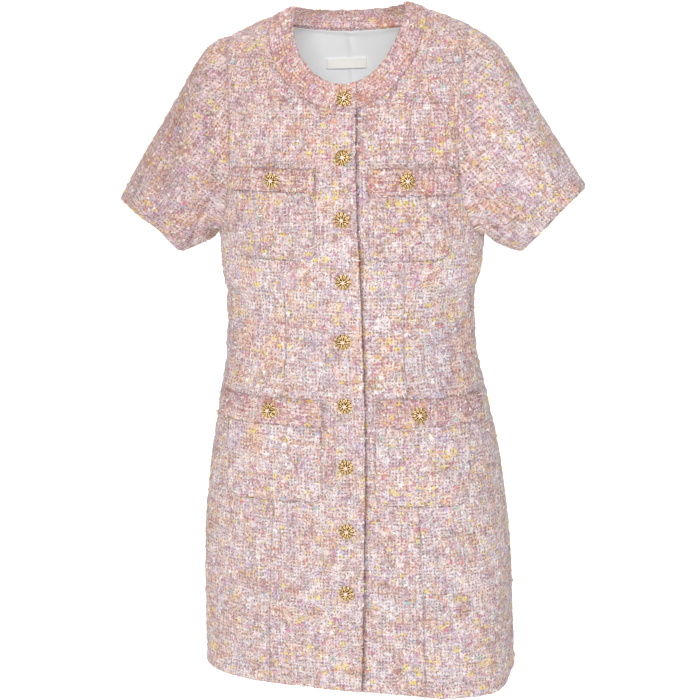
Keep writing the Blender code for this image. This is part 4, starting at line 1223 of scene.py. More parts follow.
def tweed(name, warm, cool, turned, spots, dye):
    """Woven boucle: fine threads both ways in their own colours, with painted shade between them and painted highlights
    on its curls, in patches of warmer and cooler yarns, with dyed spots. dye tints it all. The shade attribute paints
    shade in, and where it is negative a glow."""
    g = Graph(name)
    place = g.attribute("weave").outputs["Vector"]
    u, v, seed = g.split(place)
    if turned:
        u, v = v, u
    sway = g.split(g.noise(place, 0.09, 2.0)[1])
    u = g.math("ADD", u, g.math("MULTIPLY", g.math("SUBTRACT", sway[0], 0.5), 5.0))
    v = g.math("ADD", v, g.math("MULTIPLY", g.math("SUBTRACT", sway[1], 0.5), 5.0))
    fray = g.split(g.noise(place, 0.6, 1.0)[1])
    u = g.math("ADD", u, g.math("MULTIPLY", g.math("SUBTRACT", fray[0], 0.5), 2.2))
    v = g.math("ADD", v, g.math("MULTIPLY", g.math("SUBTRACT", fray[1], 0.5), 2.2))
    thread = YARN / 2
    pu, pv = g.math("DIVIDE", u, thread), g.math("DIVIDE", v, thread)
    i, j = g.math("FLOOR", pu), g.math("FLOOR", pv)
    fu, fv = g.math("SUBTRACT", pu, i), g.math("SUBTRACT", pv, j)
    i = g.math("ADD", i, g.math("MULTIPLY", seed, 13.0))
    # each thread changes colour along its length
    stretch_u = g.math("FLOOR", g.math("ADD", g.math("DIVIDE", v, 5.0), g.math("MULTIPLY", g.white(i, 3.0)[0], 9.0)))
    stretch_v = g.math("FLOOR", g.math("ADD", g.math("DIVIDE", u, 4.2), g.math("MULTIPLY", g.white(5.0, j)[0], 9.0)))
    warp, weft = g.white(i, stretch_u)[0], g.white(g.math("ADD", stretch_v, 71.0), j)[0]
    parity = g.math("FLOORED_MODULO", g.math("ADD", i, j), 2.0)
    stray = g.math("GREATER_THAN", g.white(i, j)[0], 0.72)
    over = g.math("ABSOLUTE", g.math("SUBTRACT", g.math("GREATER_THAN", parity, 0.5), stray))
    pick = g.math("ADD", g.math("MULTIPLY", warp, over), g.math("MULTIPLY", weft, g.math("SUBTRACT", 1.0, over)))
    patch = g.steps(g.noise(place, 0.045, 2.0)[0], 0.34, 0.66)
    side = g.math("LESS_THAN", g.math("FRACT", g.math("MULTIPLY", pick, 17.31)), patch)
    colour = g.mix(side, g.ramp(pick, cool), g.ramp(pick, warm))
    # whole yarns that run pale for a long way, both ways
    for across, along, wide, long, share, salt, strength, tone in (
        (u, v, 2.7, 16.0, 0.24, 11.0, 0.60, (254, 246, 244)),
        (v, u, 2.7, 14.0, 0.20, 57.0, 0.52, (254, 246, 244)),
        (u, v, 2.7, 12.0, 0.15, 23.0, 0.40, (198, 150, 154)),
        (v, u, 2.7, 11.0, 0.12, 83.0, 0.40, (194, 156, 150)),
    ):
        yarn = g.math("FLOOR", g.math("DIVIDE", across, wide))
        run = g.math("FLOOR", g.math("ADD", g.math("DIVIDE", along, long), g.math("MULTIPLY", g.white(yarn, salt)[0], 9.0)))
        drawn = g.white(g.math("ADD", yarn, g.math("MULTIPLY", seed, 7.0)), g.math("ADD", run, salt))[0]
        colour = g.mix(g.math("MULTIPLY", g.math("LESS_THAN", drawn, share), strength), colour, linear(*tone))
    # the threads' round backs, and painted shade in the gaps between them
    bu = g.math("SUBTRACT", 1.0, g.math("POWER", g.math("ABSOLUTE", g.math("SUBTRACT", g.math("MULTIPLY", fu, 2.0), 1.0)), 2.0))
    bv = g.math("SUBTRACT", 1.0, g.math("POWER", g.math("ABSOLUTE", g.math("SUBTRACT", g.math("MULTIPLY", fv, 2.0), 1.0)), 2.0))
    warp_back = g.math("MULTIPLY", bu, g.math("ADD", g.math("MULTIPLY", bv, 0.35), 0.65))
    weft_back = g.math("MULTIPLY", bv, g.math("ADD", g.math("MULTIPLY", bu, 0.35), 0.65))
    back = g.math("ADD", g.math("MULTIPLY", warp_back, over), g.math("MULTIPLY", weft_back, g.math("SUBTRACT", 1.0, over)))
    gap_shade = g.math("SUBTRACT", 1.0, g.steps(back, 0.0, 0.6))
    colour = g.mix(g.math("MULTIPLY", gap_shade, 0.5), colour, linear(150, 118, 116))
    # patches where the yarns are a little darker and greyer
    curl = g.noise(place, 0.62, 2.5, 0.65)[0]
    cloudy = g.steps(g.noise(g.vector(v, u, seed), 0.07, 2.5)[0], 0.48, 0.70)
    colour = g.mix(g.math("MULTIPLY", cloudy, 0.38), colour, linear(196, 172, 162), "MULTIPLY")
    # broad tints where one dye is used more
    for scale, offset, low, high, share, tone in (
        (0.040, 7.0, 0.50, 0.64, 0.62, (255, 234, 204)),
        (0.044, 31.0, 0.51, 0.65, 0.46, (240, 226, 252)),
        (0.060, 47.0, 0.54, 0.66, 0.50, (228, 238, 234)),
        (0.055, 63.0, 0.55, 0.70, 0.42, (218, 208, 206)),
    ):
        broad = g.noise(g.vector(g.math("ADD", u, offset), v, seed), scale, 2.0)[0]
        colour = g.mix(g.math("MULTIPLY", g.steps(broad, low, high), share), colour, linear(*tone), "MULTIPLY")
    # the colour is a little warmer up at the shoulders and chest, least on the wearer's left sleeve
    x, _, z = g.split(g.add("ShaderNodeTexCoord").outputs["Object"])
    warmth = g.math("MULTIPLY", g.steps(z, -0.38, -0.10), g.math("SUBTRACT", 1.0, g.math("MULTIPLY", g.steps(x, 0.14, 0.24), 0.7)))
    colour = g.mix(warmth, colour, linear(*BLUSH), "MULTIPLY")
    # dyed spots, some along the warp and some along the weft, closer together in places
    crowd = g.steps(g.noise(g.vector(u, g.math("ADD", v, 19.0), seed), 0.026, 1.5)[0], 0.40, 0.66)
    share = g.math("MULTIPLY", g.math("ADD", g.math("MULTIPLY", crowd, 1.5), 0.35), spots)
    for wide, tall, offset in ((1 / 11.0, 1 / 15.0, 0.0), (1 / 15.0, 1 / 11.0, 40.0)):
        cells = g.add("ShaderNodeTexVoronoi", voronoi_dimensions="2D", feature="F1")
        g.put(cells.inputs["Vector"], g.vector(g.math("MULTIPLY", u, wide), g.math("ADD", g.math("MULTIPLY", v, tall), offset)))
        cells.inputs["Scale"].default_value = 1.0
        draw = g.split(cells.outputs["Color"])
        size = g.math("ADD", g.math("MULTIPLY", draw[2], 0.20), 0.16)
        blot = g.math("MULTIPLY", g.math("SUBTRACT", 1.0, g.math("DIVIDE", cells.outputs["Distance"], size)), 1.7, clamp=True)
        mask = g.math("MULTIPLY", blot, g.math("LESS_THAN", draw[0], share))
        colour = g.mix(g.math("MULTIPLY", mask, 0.88), colour, g.ramp(draw[1], SPOTS))
    # painted highlights on curls of the boucle, and painted shade in the openings between them
    for scale, offset, near, far, share, strength, tone in (
        (1 / 3.5, 3.0, 0.16, 0.34, 0.62, 0.72, (255, 249, 245)),
        (1 / 3.3, 91.0, 0.15, 0.34, 0.66, 0.74, (128, 108, 106)),
    ):
        dots = g.add("ShaderNodeTexVoronoi", voronoi_dimensions="2D", feature="F1")
        g.put(dots.inputs["Vector"], g.vector(g.math("MULTIPLY", u, scale), g.math("ADD", g.math("MULTIPLY", v, scale), offset)))
        dots.inputs["Scale"].default_value = 1.0
        own = g.split(dots.outputs["Color"])
        mask = g.math("MULTIPLY", g.math("SUBTRACT", 1.0, g.steps(dots.outputs["Distance"], near, far)), g.math("LESS_THAN", own[0], share))
        colour = g.mix(g.math("MULTIPLY", mask, g.math("MULTIPLY", g.math("ADD", own[1], 0.5), strength * 0.8), clamp=True), colour, linear(*tone))
    # painted shade in the openings where four thick yarns meet
    gu, gv = (g.math("ABSOLUTE", g.math("SUBTRACT", g.math("MULTIPLY", g.math("FRACT", g.math("DIVIDE", x, YARN)), 2.0), 1.0)) for x in (u, v))
    corner = g.math("MULTIPLY", g.steps(gu, 0.25, 0.85), g.steps(gv, 0.25, 0.85))
    which = g.white(g.math("ROUND", g.math("DIVIDE", u, YARN)), g.math("ROUND", g.math("DIVIDE", v, YARN)))[0]
    colour = g.mix(g.math("MULTIPLY", g.math("MULTIPLY", corner, g.steps(which, 0.05, 0.85)), 0.88), colour, linear(136, 108, 108))
    # painted shade from the shade attribute: seam valleys, creases, the shadow beside the upper front's edge, and
    # pieces that lie in more shade
    shade = g.attribute("shade").outputs["Fac"]
    colour = g.mix(g.math("MAXIMUM", shade, 0.0), colour, g.mix(0.72, colour, linear(*PAINTED_SHADE_TINT), "MULTIPLY"))
    colour = g.mix(1.0, colour, linear(*dye), "MULTIPLY")
    g.put(g.shader.inputs["Base Color"], colour)
    # painted light: its inner face glows where the shade attribute is negative, standing in for light that comes
    # through the cloth
    g.put(g.shader.inputs["Emission Color"], colour)
    g.put(g.shader.inputs["Emission Strength"], g.math("MAXIMUM", g.math("MULTIPLY", shade, -1.0), 0.0))
    g.bump(g.math("ADD", g.math("MULTIPLY", back, 0.8), curl), 0.7, 0.0008)
    g.shader.inputs["Roughness"].default_value = 0.92
    g.shader.inputs["Specular IOR Level"].default_value = 0.2
    g.shader.inputs["Sheen Weight"].default_value = 0.12
    g.shader.inputs["Sheen Roughness"].default_value = 0.5
    return g.material


def slub_yarn(name, colours):
    """Thick soft yarn, each length in its own colour, with fibres across it."""
    g = Graph(name)
    place = g.attribute("weave").outputs["Vector"]
    position = g.add("ShaderNodeTexCoord").outputs["Object"]
    colour = g.ramp(g.attribute("yarn").outputs["Fac"], colours)
    fibre = g.noise(position, 1100.0, 2.0, 0.6)[0]
    colour = g.mix(g.steps(fibre, 0.5, 0.7), colour, g.mix(0.4, colour, linear(255, 250, 244)))
    colour = g.mix(g.math("MULTIPLY", g.math("SUBTRACT", 1.0, g.steps(fibre, 0.28, 0.46)), 0.4), colour, linear(176, 138, 138))
    colour = g.mix(1.0, colour, linear(*BODY_DYE), "MULTIPLY")
    g.put(g.shader.inputs["Base Color"], colour)
    g.bump(fibre, 0.6, 0.0004)
    g.shader.inputs["Roughness"].default_value = 0.9
    g.shader.inputs["Specular IOR Level"].default_value = 0.2
    g.shader.inputs["Sheen Weight"].default_value = 0.2
    g.shader.inputs["Sheen Roughness"].default_value = 0.5
    return g.material


def lining_cloth(name):
    """Smooth, fine twill with a soft sheen."""
    g = Graph(name)
    place = g.attribute("weave").outputs["Vector"]
    u, v, _ = g.split(place)
    twill = g.math("SINE", g.math("MULTIPLY", g.math("ADD", g.math("MULTIPLY", u, 1.0), v), 9.0))
    cloud = g.noise(place, 0.03, 2.0)[0]
    colour = g.mix(cloud, linear(226, 231, 233), linear(236, 240, 241))
    colour = g.mix(g.math("MULTIPLY", g.steps(twill, 0.2, 1.0), 0.12), colour, linear(204, 206, 210))
    g.put(g.shader.inputs["Base Color"], colour)
    # painted light: the lining glows a little, standing in for light that comes through the thin cloth
    g.put(g.shader.inputs["Emission Color"], colour)
    g.shader.inputs["Emission Strength"].default_value = 0.10
    g.bump(g.math("ADD", g.math("MULTIPLY", twill, 0.25), g.noise(place, 0.35, 3.0)[0]), 0.25, 0.0004)
    g.shader.inputs["Roughness"].default_value = 0.48
    g.shader.inputs["Sheen Weight"].default_value = 0.3
    g.shader.inputs["Sheen Roughness"].default_value = 0.4
    return g.material


def label_tape(name):
    """White woven tape with fine ribs."""
    g = Graph(name)
    place = g.attribute("weave").outputs["Vector"]
    u, v, _ = g.split(place)
    ribs = g.math("SINE", g.math("MULTIPLY", v, 14.0))
    threads = g.math("SINE", g.math("MULTIPLY", u, 11.0))
    colour = g.mix(g.noise(place, 0.2, 2.0)[0], linear(236, 238, 232), linear(244, 245, 241))
    colour = g.mix(g.math("MULTIPLY", g.steps(ribs, 0.0, 1.0), 0.12), colour, linear(206, 208, 204))
    g.put(g.shader.inputs["Base Color"], colour)
    # painted light: the tape glows a little
    g.put(g.shader.inputs["Emission Color"], colour)
    g.shader.inputs["Emission Strength"].default_value = 0.12
    g.bump(g.math("ADD", ribs, g.math("MULTIPLY", threads, 0.6)), 0.3, 0.0002)
    g.shader.inputs["Roughness"].default_value = 0.6
    return g.material


def gold(name, colour, deep, roughness):
    """Cast and polished metal, darker where it is hollow."""
    g = Graph(name)
    position = g.add("ShaderNodeTexCoord").outputs["Object"]
    bent = g.add("ShaderNodeNewGeometry").outputs["Pointiness"]
    grain = g.noise(position, 900.0, 3.0, 0.6)[0]
    tone = g.mix(g.steps(bent, 0.44, 0.56), linear(*deep), linear(*colour))
    tone = g.mix(g.math("MULTIPLY", g.steps(grain, 0.55, 0.8), 0.35), tone, linear(*deep))
    g.put(g.shader.inputs["Base Color"], tone)
    g.put(g.shader.inputs["Roughness"], g.math("ADD", g.math("MULTIPLY", grain, 0.22), roughness - 0.11))
    g.shader.inputs["Metallic"].default_value = 1.0
    g.bump(grain, 0.15, 0.0002)
    return g.material


def stone(name):
    """A small pale pink cut stone."""
    g = Graph(name)
    position = g.add("ShaderNodeTexCoord").outputs["Object"]
    cloud = g.noise(position, 500.0, 2.0)[0]
    g.put(g.shader.inputs["Base Color"], g.mix(cloud, linear(238, 196, 192), linear(248, 224, 220)))
    g.put(g.shader.inputs["Roughness"], g.math("ADD", g.math("MULTIPLY", cloud, 0.08), 0.04))
    g.shader.inputs["Coat Weight"].default_value = 0.6
    g.shader.inputs["Coat Roughness"].default_value = 0.05
    return g.material


TWEED_CLOTH = tweed("tweed_cloth", WARM, COOL, False, 0.34, BODY_DYE)
TRIM_CLOTH = tweed("trim_tweed_cloth", TRIM_WARM, TRIM_COOL, True, 0.22, TRIM_DYE)
SLUB_YARN = slub_yarn("slub_yarn", SLUB_COLOURS)
LINING_CLOTH = lining_cloth("lining_cloth")
LABEL_TAPE = label_tape("label_tape_cloth")
GOLD_BRIGHT = gold("button_gold", (246, 222, 170), (160, 116, 64), 0.30)
GOLD_DEEP = gold("button_gold_ground", (132, 94, 56), (84, 56, 34), 0.5)
STONE = stone("button_stone")

# ---------------------------------------------------------------- panels on the form
FRONT_STEP, BACK_STEP, TRIM_STEP = 1.85, 2.45, 1.6
BACK_CORNERS = (SIDE_COLUMNS + 1, SIDE_COLUMNS + 1 + BACK_NECK_COLUMNS)  # where the back's top turns into its neck
SLUB_DENSITY = {"front": 0.62, "back": 0.30, "trim": 0.9}


def covered_by(turn, drop, pieces):
    """Where a front is hidden under a pocket or a flap."""
    p = bare(turn, drop)
    from_row, z = np.abs(p[..., 0] - SWAY), p[..., 2]
    hidden = np.zeros(from_row.shape, bool)
    for inner, outer, top, bottom, _ in pieces:
        hidden |= (from_row > inner + 5) & (from_row < outer - 5) & (z < top - 4) & (z > bottom + 5)
    return hidden


def panel(name, coarse, spacing, middle, first, seed, side=0, lifted=False, density=0.6, over=(), corners=((), ())):
    turn, drop, at_row, at_column = finer(*coarse, spacing, *corners)
    corner = 0
    if first == "fold":
        # the neck seam above the front edge
        corner = int(np.argmin(np.abs(at_row - corners[0][0])))
        exact = neck_front_at(NECK_OUTER, side, PLACKET_EDGE if side < 0 else UNDERLAP_EDGE, (at_row[corner:] - corners[0][0]) / NECK_ROWS)
        fade = ((1 - at_column / at_column[-1]) ** 2)[None, :]
        for grid, line in zip((turn, drop), exact):
            grid[corner:] += (line - grid[corner:, 0])[:, None] * fade
    if corners[1]:
        # the neck seam along the back's top
        a, b = (int(np.argmin(np.abs(at_column - c))) for c in corners[1])
        exact = neck_back_at(NECK_OUTER, (at_column[a : b + 1] - corners[1][0]) / BACK_NECK_COLUMNS)
        fade = (smooth((at_row - at_row[-1] + 2.0) / 2.0) ** 2)[:, None]
        for grid, line in zip((turn, drop), exact):
            grid[:, a : b + 1] += (line - grid[-1, a : b + 1])[None, :] * fade
    normals = outward(turn, drop)
    lift, shade = (lap(turn, drop) if lifted else np.zeros(turn.shape)), np.zeros(turn.shape)
    if side > 0 and first == "fold":
        # pressed down beside the upper front's edge, with a painted shadow cast there by that edge
        beside = bare(turn, drop)[..., 0] - SWAY - PLACKET_LINE(z_of(drop))
        lift = lift - 1.6 * np.exp(-((beside / 3.2) ** 2))
        shade = 0.9 * np.exp(-(np.maximum(beside - 0.8, 0) / 2.1) ** 1.5)
    points = on_form(turn, drop, lift)
    points = draw_back(points, normals, ("first" if first == "seam" else "neck", "last", "top"), corner)
    weave = cloth_grain(turn, drop, middle)
    kinds = {"first": first if first == "seam" else ("fold", "seam", corner), "last": "seam", "bottom": "fold", "top": "seam"}
    # painted shade on the rims, darkest along the raised upper front's edge
    obj, outer = cloth(name, points, normals, weave, kinds, TWEED_CLOTH, "tweed", seed, hem=HEM_DEPTH, shade=shade, rim_shade=0.8 if lifted else 0.15)
    extra = slubs(name + "_slubs", outer, normals, weave, density, seed, kinds, SLUB_YARN, "tweed", covered_by(turn, drop, over) if over else None)
    declare(obj, weave, points)
    return obj


def PLACKET_LINE(z):
    """How far the upper front's edge lies from the button row."""
    return PLACKET_EDGE + placket_further(z)


def fronts():
    rows = SIDE_ROWS + len(ARMHOLE)
    for word, side, seed in (("right", -1, 3), ("left", 1, 4)):
        over = [t[side] for t in (BREAST_POCKET, HIP_POCKET, BREAST_FLAP, HIP_FLAP)]
        edge = PLACKET_EDGE if side < 0 else UNDERLAP_EDGE
        panel(
            "centre_front_" + word,
            centre_front(side, edge),
            FRONT_STEP,
            0.0,
            "fold",
            seed,
            side=side,
            lifted=side < 0,
            density=SLUB_DENSITY["front"],
            over=over,
            corners=((rows - 1 - NECK_ROWS,), ()),
        )
        panel("side_front_" + word, side_front(side), FRONT_STEP, 0.7 * side, "seam", seed + 4, density=SLUB_DENSITY["front"], over=over)
    panel("back", back(), BACK_STEP, 2.0, "seam", 11, density=SLUB_DENSITY["back"], corners=((), BACK_CORNERS))


def neck_band():
    turn, drop, lift = band()
    points = on_form(turn, drop)
    at, to, _ = even_steps(points.transpose(1, 0, 2), TRIM_STEP)
    at_column = np.interp(to, at, np.arange(len(at)))
    lines = []
    for neck in (NECK_OUTER, NECK_INNER):
        left = neck_front_at(neck, 1, UNDERLAP_EDGE, np.clip(at_column / NECK_ROWS, 0, 1))
        behind = neck_back_at(neck, np.clip((at_column - NECK_ROWS) / BACK_NECK_COLUMNS, 0, 1))
        right = neck_front_at(neck, -1, PLACKET_EDGE, np.clip((2 * NECK_ROWS + BACK_NECK_COLUMNS - at_column) / NECK_ROWS, 0, 1))
        on_left, on_right = at_column <= NECK_ROWS, at_column >= NECK_ROWS + BACK_NECK_COLUMNS
        lines.append([np.where(on_left, l, np.where(on_right, r + w, b)) for l, b, r, w in zip(left, behind, right, (4, 0))])
    rows = 5 * INNER_STEP
    v = np.linspace(0, 1, rows + 1)[:, None]
    turn, drop = (lines[0][k] * (1 - v) + lines[1][k] * v for k in (0, 1))
    lift = np.where(at_column > NECK_ROWS + BACK_NECK_COLUMNS, lap(turn, drop), 0.0)
    normals = outward(turn, drop)
    # fullest along its middle
    points = draw_back(on_form(turn, drop, lift + 0.9 * np.sin(math.pi * v) ** 0.8), normals, ("bottom",))
    along = np.pad(np.linalg.norm(np.diff(points, axis=1), axis=2).mean(axis=0).cumsum(), (1, 0))
    up = np.linalg.norm(points[-1] - points[0], axis=1)
    weave = np.stack([np.broadcast_to(along, turn.shape), v * up[None, :]], axis=-1)
    kinds = {"first": "fold", "last": "fold", "bottom": "seam", "top": "fold"}
    obj, outer = cloth("neck_band", points, normals, weave, kinds, TRIM_CLOTH, "tweed_trim", 15, both=True, glow=0.5)
    extra = slubs("neck_band_slubs", outer, normals, weave, SLUB_DENSITY["trim"], 15, kinds, SLUB_YARN, "tweed_trim")
    declare(obj, weave, points)


# ---------------------------------------------------------------- sleeves
def sleeve(word, side, seed):
    front, behind = side_line(side, False), side_line(side, True)
    back_turns = behind[0] - (4.0 if side < 0 else 0.0)
    # the armhole from under the arm, up the back, over the shoulder and down the front
    turn = np.concatenate([back_turns[SIDE_ROWS:-1], front[0][SIDE_ROWS:][::-1]])
    drop = np.concatenate([behind[1][SIDE_ROWS:-1], front[1][SIDE_ROWS:][::-1]])
    coarse, top = on_form(turn, drop), len(front[0]) - SIDE_ROWS - 1
    share = np.clip((coarse[:, 2] - coarse[0, 2]) / (coarse[top, 2] - coarse[0, 2]), 0, 1)
    angle = np.arccos(2 * share - 1) / (math.pi / 2)
    around = np.where(np.arange(len(coarse)) <= top, -angle, angle)
    run = np.append(0.0, np.cumsum(np.linalg.norm(np.diff(coarse, axis=0), axis=1)))
    to = np.linspace(0, run[-1], 151)
    turn, drop, around = (through(g[:, None], run, to)[:, 0] for g in (turn, drop, around))
    loop, body_normals = on_form(turn, drop), outward(turn, drop)
    curves = sleeve_curves(side)
    shift = loop - sleeve_oval(side, around, np.zeros(len(loop)), curves)

    def ring_points(a, s, shift):
        own = curves["own"](s)[..., None]
        return sleeve_oval(side, a, s, curves) + shift * (1 - own)

    # a fine grid: rows down the sleeve, columns round it
    steps = np.linspace(0, 1, 60) ** 1.25
    a, s = np.meshgrid(around, steps)
    rough = ring_points(a, s, shift[None])
    down = even_steps(rough, FRONT_STEP)
    across = even_steps(rough[20:].transpose(1, 0, 2), FRONT_STEP)
    steps = np.clip(through(steps[:, None], *down)[:, 0], 0, 1)
    fine = [through(g.reshape(len(loop), -1), *across) for g in (around, shift, body_normals)]
    a, s = np.meshgrid(fine[0][:, 0], steps)
    own = curves["own"](s)[..., None]
    e = 0.02

    def point(a, s):
        return sleeve_oval(side, a, s, curves)

    normals = np.cross(point(a + e, s) - point(a - e, s), point(a, np.minimum(s + e, 1)) - point(a, np.maximum(s - e, 0)))
    normals = unit(unit(normals) * side * own + unit(fine[2])[None] * (1 - own))
    base = point(a, s) + fine[1][None] * (1 - own)
    rings = np.linalg.norm(np.diff(base, axis=1), axis=2).sum(axis=1) / 4
    folds = sleeve_fold(side, a, s, rings[:, None])
    points = base + normals * folds[..., None]
    # the cloth's places: across from the line down the top, and down along the sleeve
    over = int(np.argmin(np.abs(a[0])))
    axis = unit(points[-1].mean(axis=0) - points[len(points) // 4].mean(axis=0))
    flat = points - points[len(points) // 3 :].mean(axis=(0, 1))
    flat = flat - (flat @ axis)[..., None] * axis
    up = unit(flat[len(points) // 2 :, over].mean(axis=0))
    turned_by = np.unwrap(np.arctan2(flat @ np.cross(axis, up), flat @ up), axis=1)
    turned_by -= 2 * math.pi * np.round(turned_by[:, over : over + 1] / (2 * math.pi))
    middle = flat[len(points) // 2]
    run = np.append(0.0, np.linalg.norm(np.diff(middle, axis=0), axis=1).cumsum())
    run -= run[over]
    at = turned_by[len(points) // 2] * (1 if turned_by[0, -1] > turned_by[0, 0] else -1)
    across = np.interp(turned_by * (1 if turned_by[0, -1] > turned_by[0, 0] else -1), np.maximum.accumulate(at), run)
    weave = np.stack([across, -(points - points[-1, over]) @ axis], axis=-1)
    # rows run from the cuff to the armhole, as on the other pieces
    points, normals, weave, folds = points[::-1].copy(), normals[::-1].copy(), weave[::-1].copy(), folds[::-1]
    into = unit(points[-2] - points[-1])
    points[-1] += into * SEAM_GAP
    kinds = {"first": "seam", "last": "seam", "bottom": "fold", "top": "seam"}
    name = "sleeve_" + word
    # painted shade: the wearer's right sleeve is painted darker all over, and more in the troughs of its folds
    tone = (0.20 if side < 0 else 0.0) + 0.045 * np.clip(-folds, 0.0, 6.0)
    obj, outer = cloth(name, points, normals, weave, kinds, TWEED_CLOTH, "tweed", seed, hem=HEM_DEPTH, shade=tone)
    extra = slubs(name + "_slubs", outer, normals, weave, SLUB_DENSITY["front"], seed, kinds, SLUB_YARN, "tweed")
    declare(obj, weave, points)


# ---------------------------------------------------------------- pockets and flaps
def patch(name, side, size, rows, material, slot, seed, kinds, roll, dark=0.0):
    """A pocket or flap from the form's own points, moved out. rows holds how far down and how far off."""
    inner_edge, outer_edge, top, bottom, corner = size[side]
    wide = INNER_STEP * int(round((outer_edge - inner_edge) / TRIM_STEP / INNER_STEP))
    tall = INNER_STEP * int(round((top - bottom) / TRIM_STEP / INNER_STEP))
    u = np.linspace(0, 1, wide + 1)
    u = 0.5 - 0.5 * np.cos(math.pi * (0.12 + 0.76 * u))
    x = inner_edge + (outer_edge - inner_edge) * (u - u[0]) / (u[-1] - u[0])
    near = np.minimum(np.minimum(x - inner_edge, outer_edge - x), corner)
    low = bottom + corner - np.sqrt(np.maximum(corner**2 - (corner - near) ** 2, 0))
    share = np.linspace(1, 0, tall + 1)
    at = np.array([row[0] for row in rows])[::-1]
    off = through(np.array([row[1] for row in rows])[::-1][:, None], at, np.linspace(0, 1, tall + 1))[::-1, 0]
    z = top + (low[None, :] - top) * share[:, None]
    turn, drop = front_turn(side * np.broadcast_to(x, z.shape), z), drop_of(z)
    # a little fullness, most in the middle, and a soft unevenness of its own
    puff = 0.9 * np.sin(math.pi * u / u[-1])[None, :] ** 0.7 * np.sin(math.pi * share)[:, None] ** 0.7
    ripple = 0.5 * drift(np.broadcast_to(x, z.shape) / 23, z / 17, seed)
    lift = off[:, None] + (lap(turn, drop) if side < 0 else 0.0) + puff + ripple * puff
    normals = outward(turn, drop)
    points = on_form(turn, drop, lift + CLOTH)
    weave = cloth_grain(turn, drop, 0.0) + np.array([seed * 5.3, seed * 3.1])
    # painted shade laid evenly over the whole piece
    tone = np.full(turn.shape, dark)
    obj, outer = cloth(name, points, normals, weave, kinds, material, slot, seed, shade=tone, roll=roll)
    extra = slubs(name + "_slubs", outer, normals, weave, SLUB_DENSITY["trim"], seed, kinds, SLUB_YARN, slot)
    declare(obj, weave, points)


def pockets():
    for word, side, seed in (("right", -1, 21), ("left", 1, 26)):
        flush = {"first": "fold", "last": "fold", "bottom": "fold", "top": "flush"}
        fold = {"first": "fold", "last": "fold", "bottom": "fold", "top": "seam"}
        level = ((1.0, ON_PANEL), (0.5, ON_PANEL), (0.0, ON_PANEL))
        # the last number is painted shade, on the breast pockets and the flaps
        patch("breast_pocket_" + word, side, BREAST_POCKET, level, TWEED_CLOTH, "tweed", seed, flush, 1.0, 0.08)
        patch("hip_pocket_" + word, side, HIP_POCKET, level, TWEED_CLOTH, "tweed", seed + 1, flush, 1.0)
        patch("breast_flap_" + word, side, BREAST_FLAP, FLAP_ROWS, TRIM_CLOTH, "tweed_trim", seed + 2, fold, 0.7, 0.10)
        patch("hip_flap_" + word, side, HIP_FLAP, FLAP_ROWS, TRIM_CLOTH, "tweed_trim", seed + 3, fold, 0.7, 0.08)


# ---------------------------------------------------------------- lining and label
PLEAT = (BACK_SWAY, 8.0, 2.2)  # the pleat down the lining's middle: where, how wide, how high


def lining():
    turn, drop = back()
    low = int(np.argmin(np.abs(z_of(drop[:, 0]) - WAIST)))
    turn, drop = turn[low:, 1:-1].copy(), drop[low:, 1:-1].copy()
    for rows in (turn, drop):
        rows[-1] += 0.12 * (rows[-2] - rows[-1])
    turn, drop, _, _ = finer(turn, drop, 2.9, (), tuple(c - 1 for c in BACK_CORNERS))
    p = bare(turn, drop)
    lift = np.full(turn.shape, -CLOTH - LINING_GAP)
    lift -= LINING_TUCK * smooth(1 - from_edges(p)["top"] / 12.0)
    at, wide, high = PLEAT
    away = p[..., 0] - at
    pleat = smooth((away + wide / 2) / 1.6) * smooth((wide / 2 - away) / 1.2)
    waves = 0.7 * drift(p[..., 0] / 34, p[..., 2] / 80, 7) - 0.35
    inner_lift = lift - high * pleat * smooth((p[..., 2] + 330) / 60) + waves
    normals = outward(turn, drop)
    points = on_form(turn, drop, np.minimum(inner_lift, lift + 0.1))
    weave = cloth_grain(turn, drop, 2.0)
    kinds = {"first": "flush", "last": "flush", "bottom": "flush", "top": "flush"}
    obj, _ = cloth(
        "back_lining", points, normals, weave, kinds, LINING_CLOTH, "lining", 31, thickness=LINING_WALL, both=True, rise=0.0
    )
    declare(obj, weave, points)


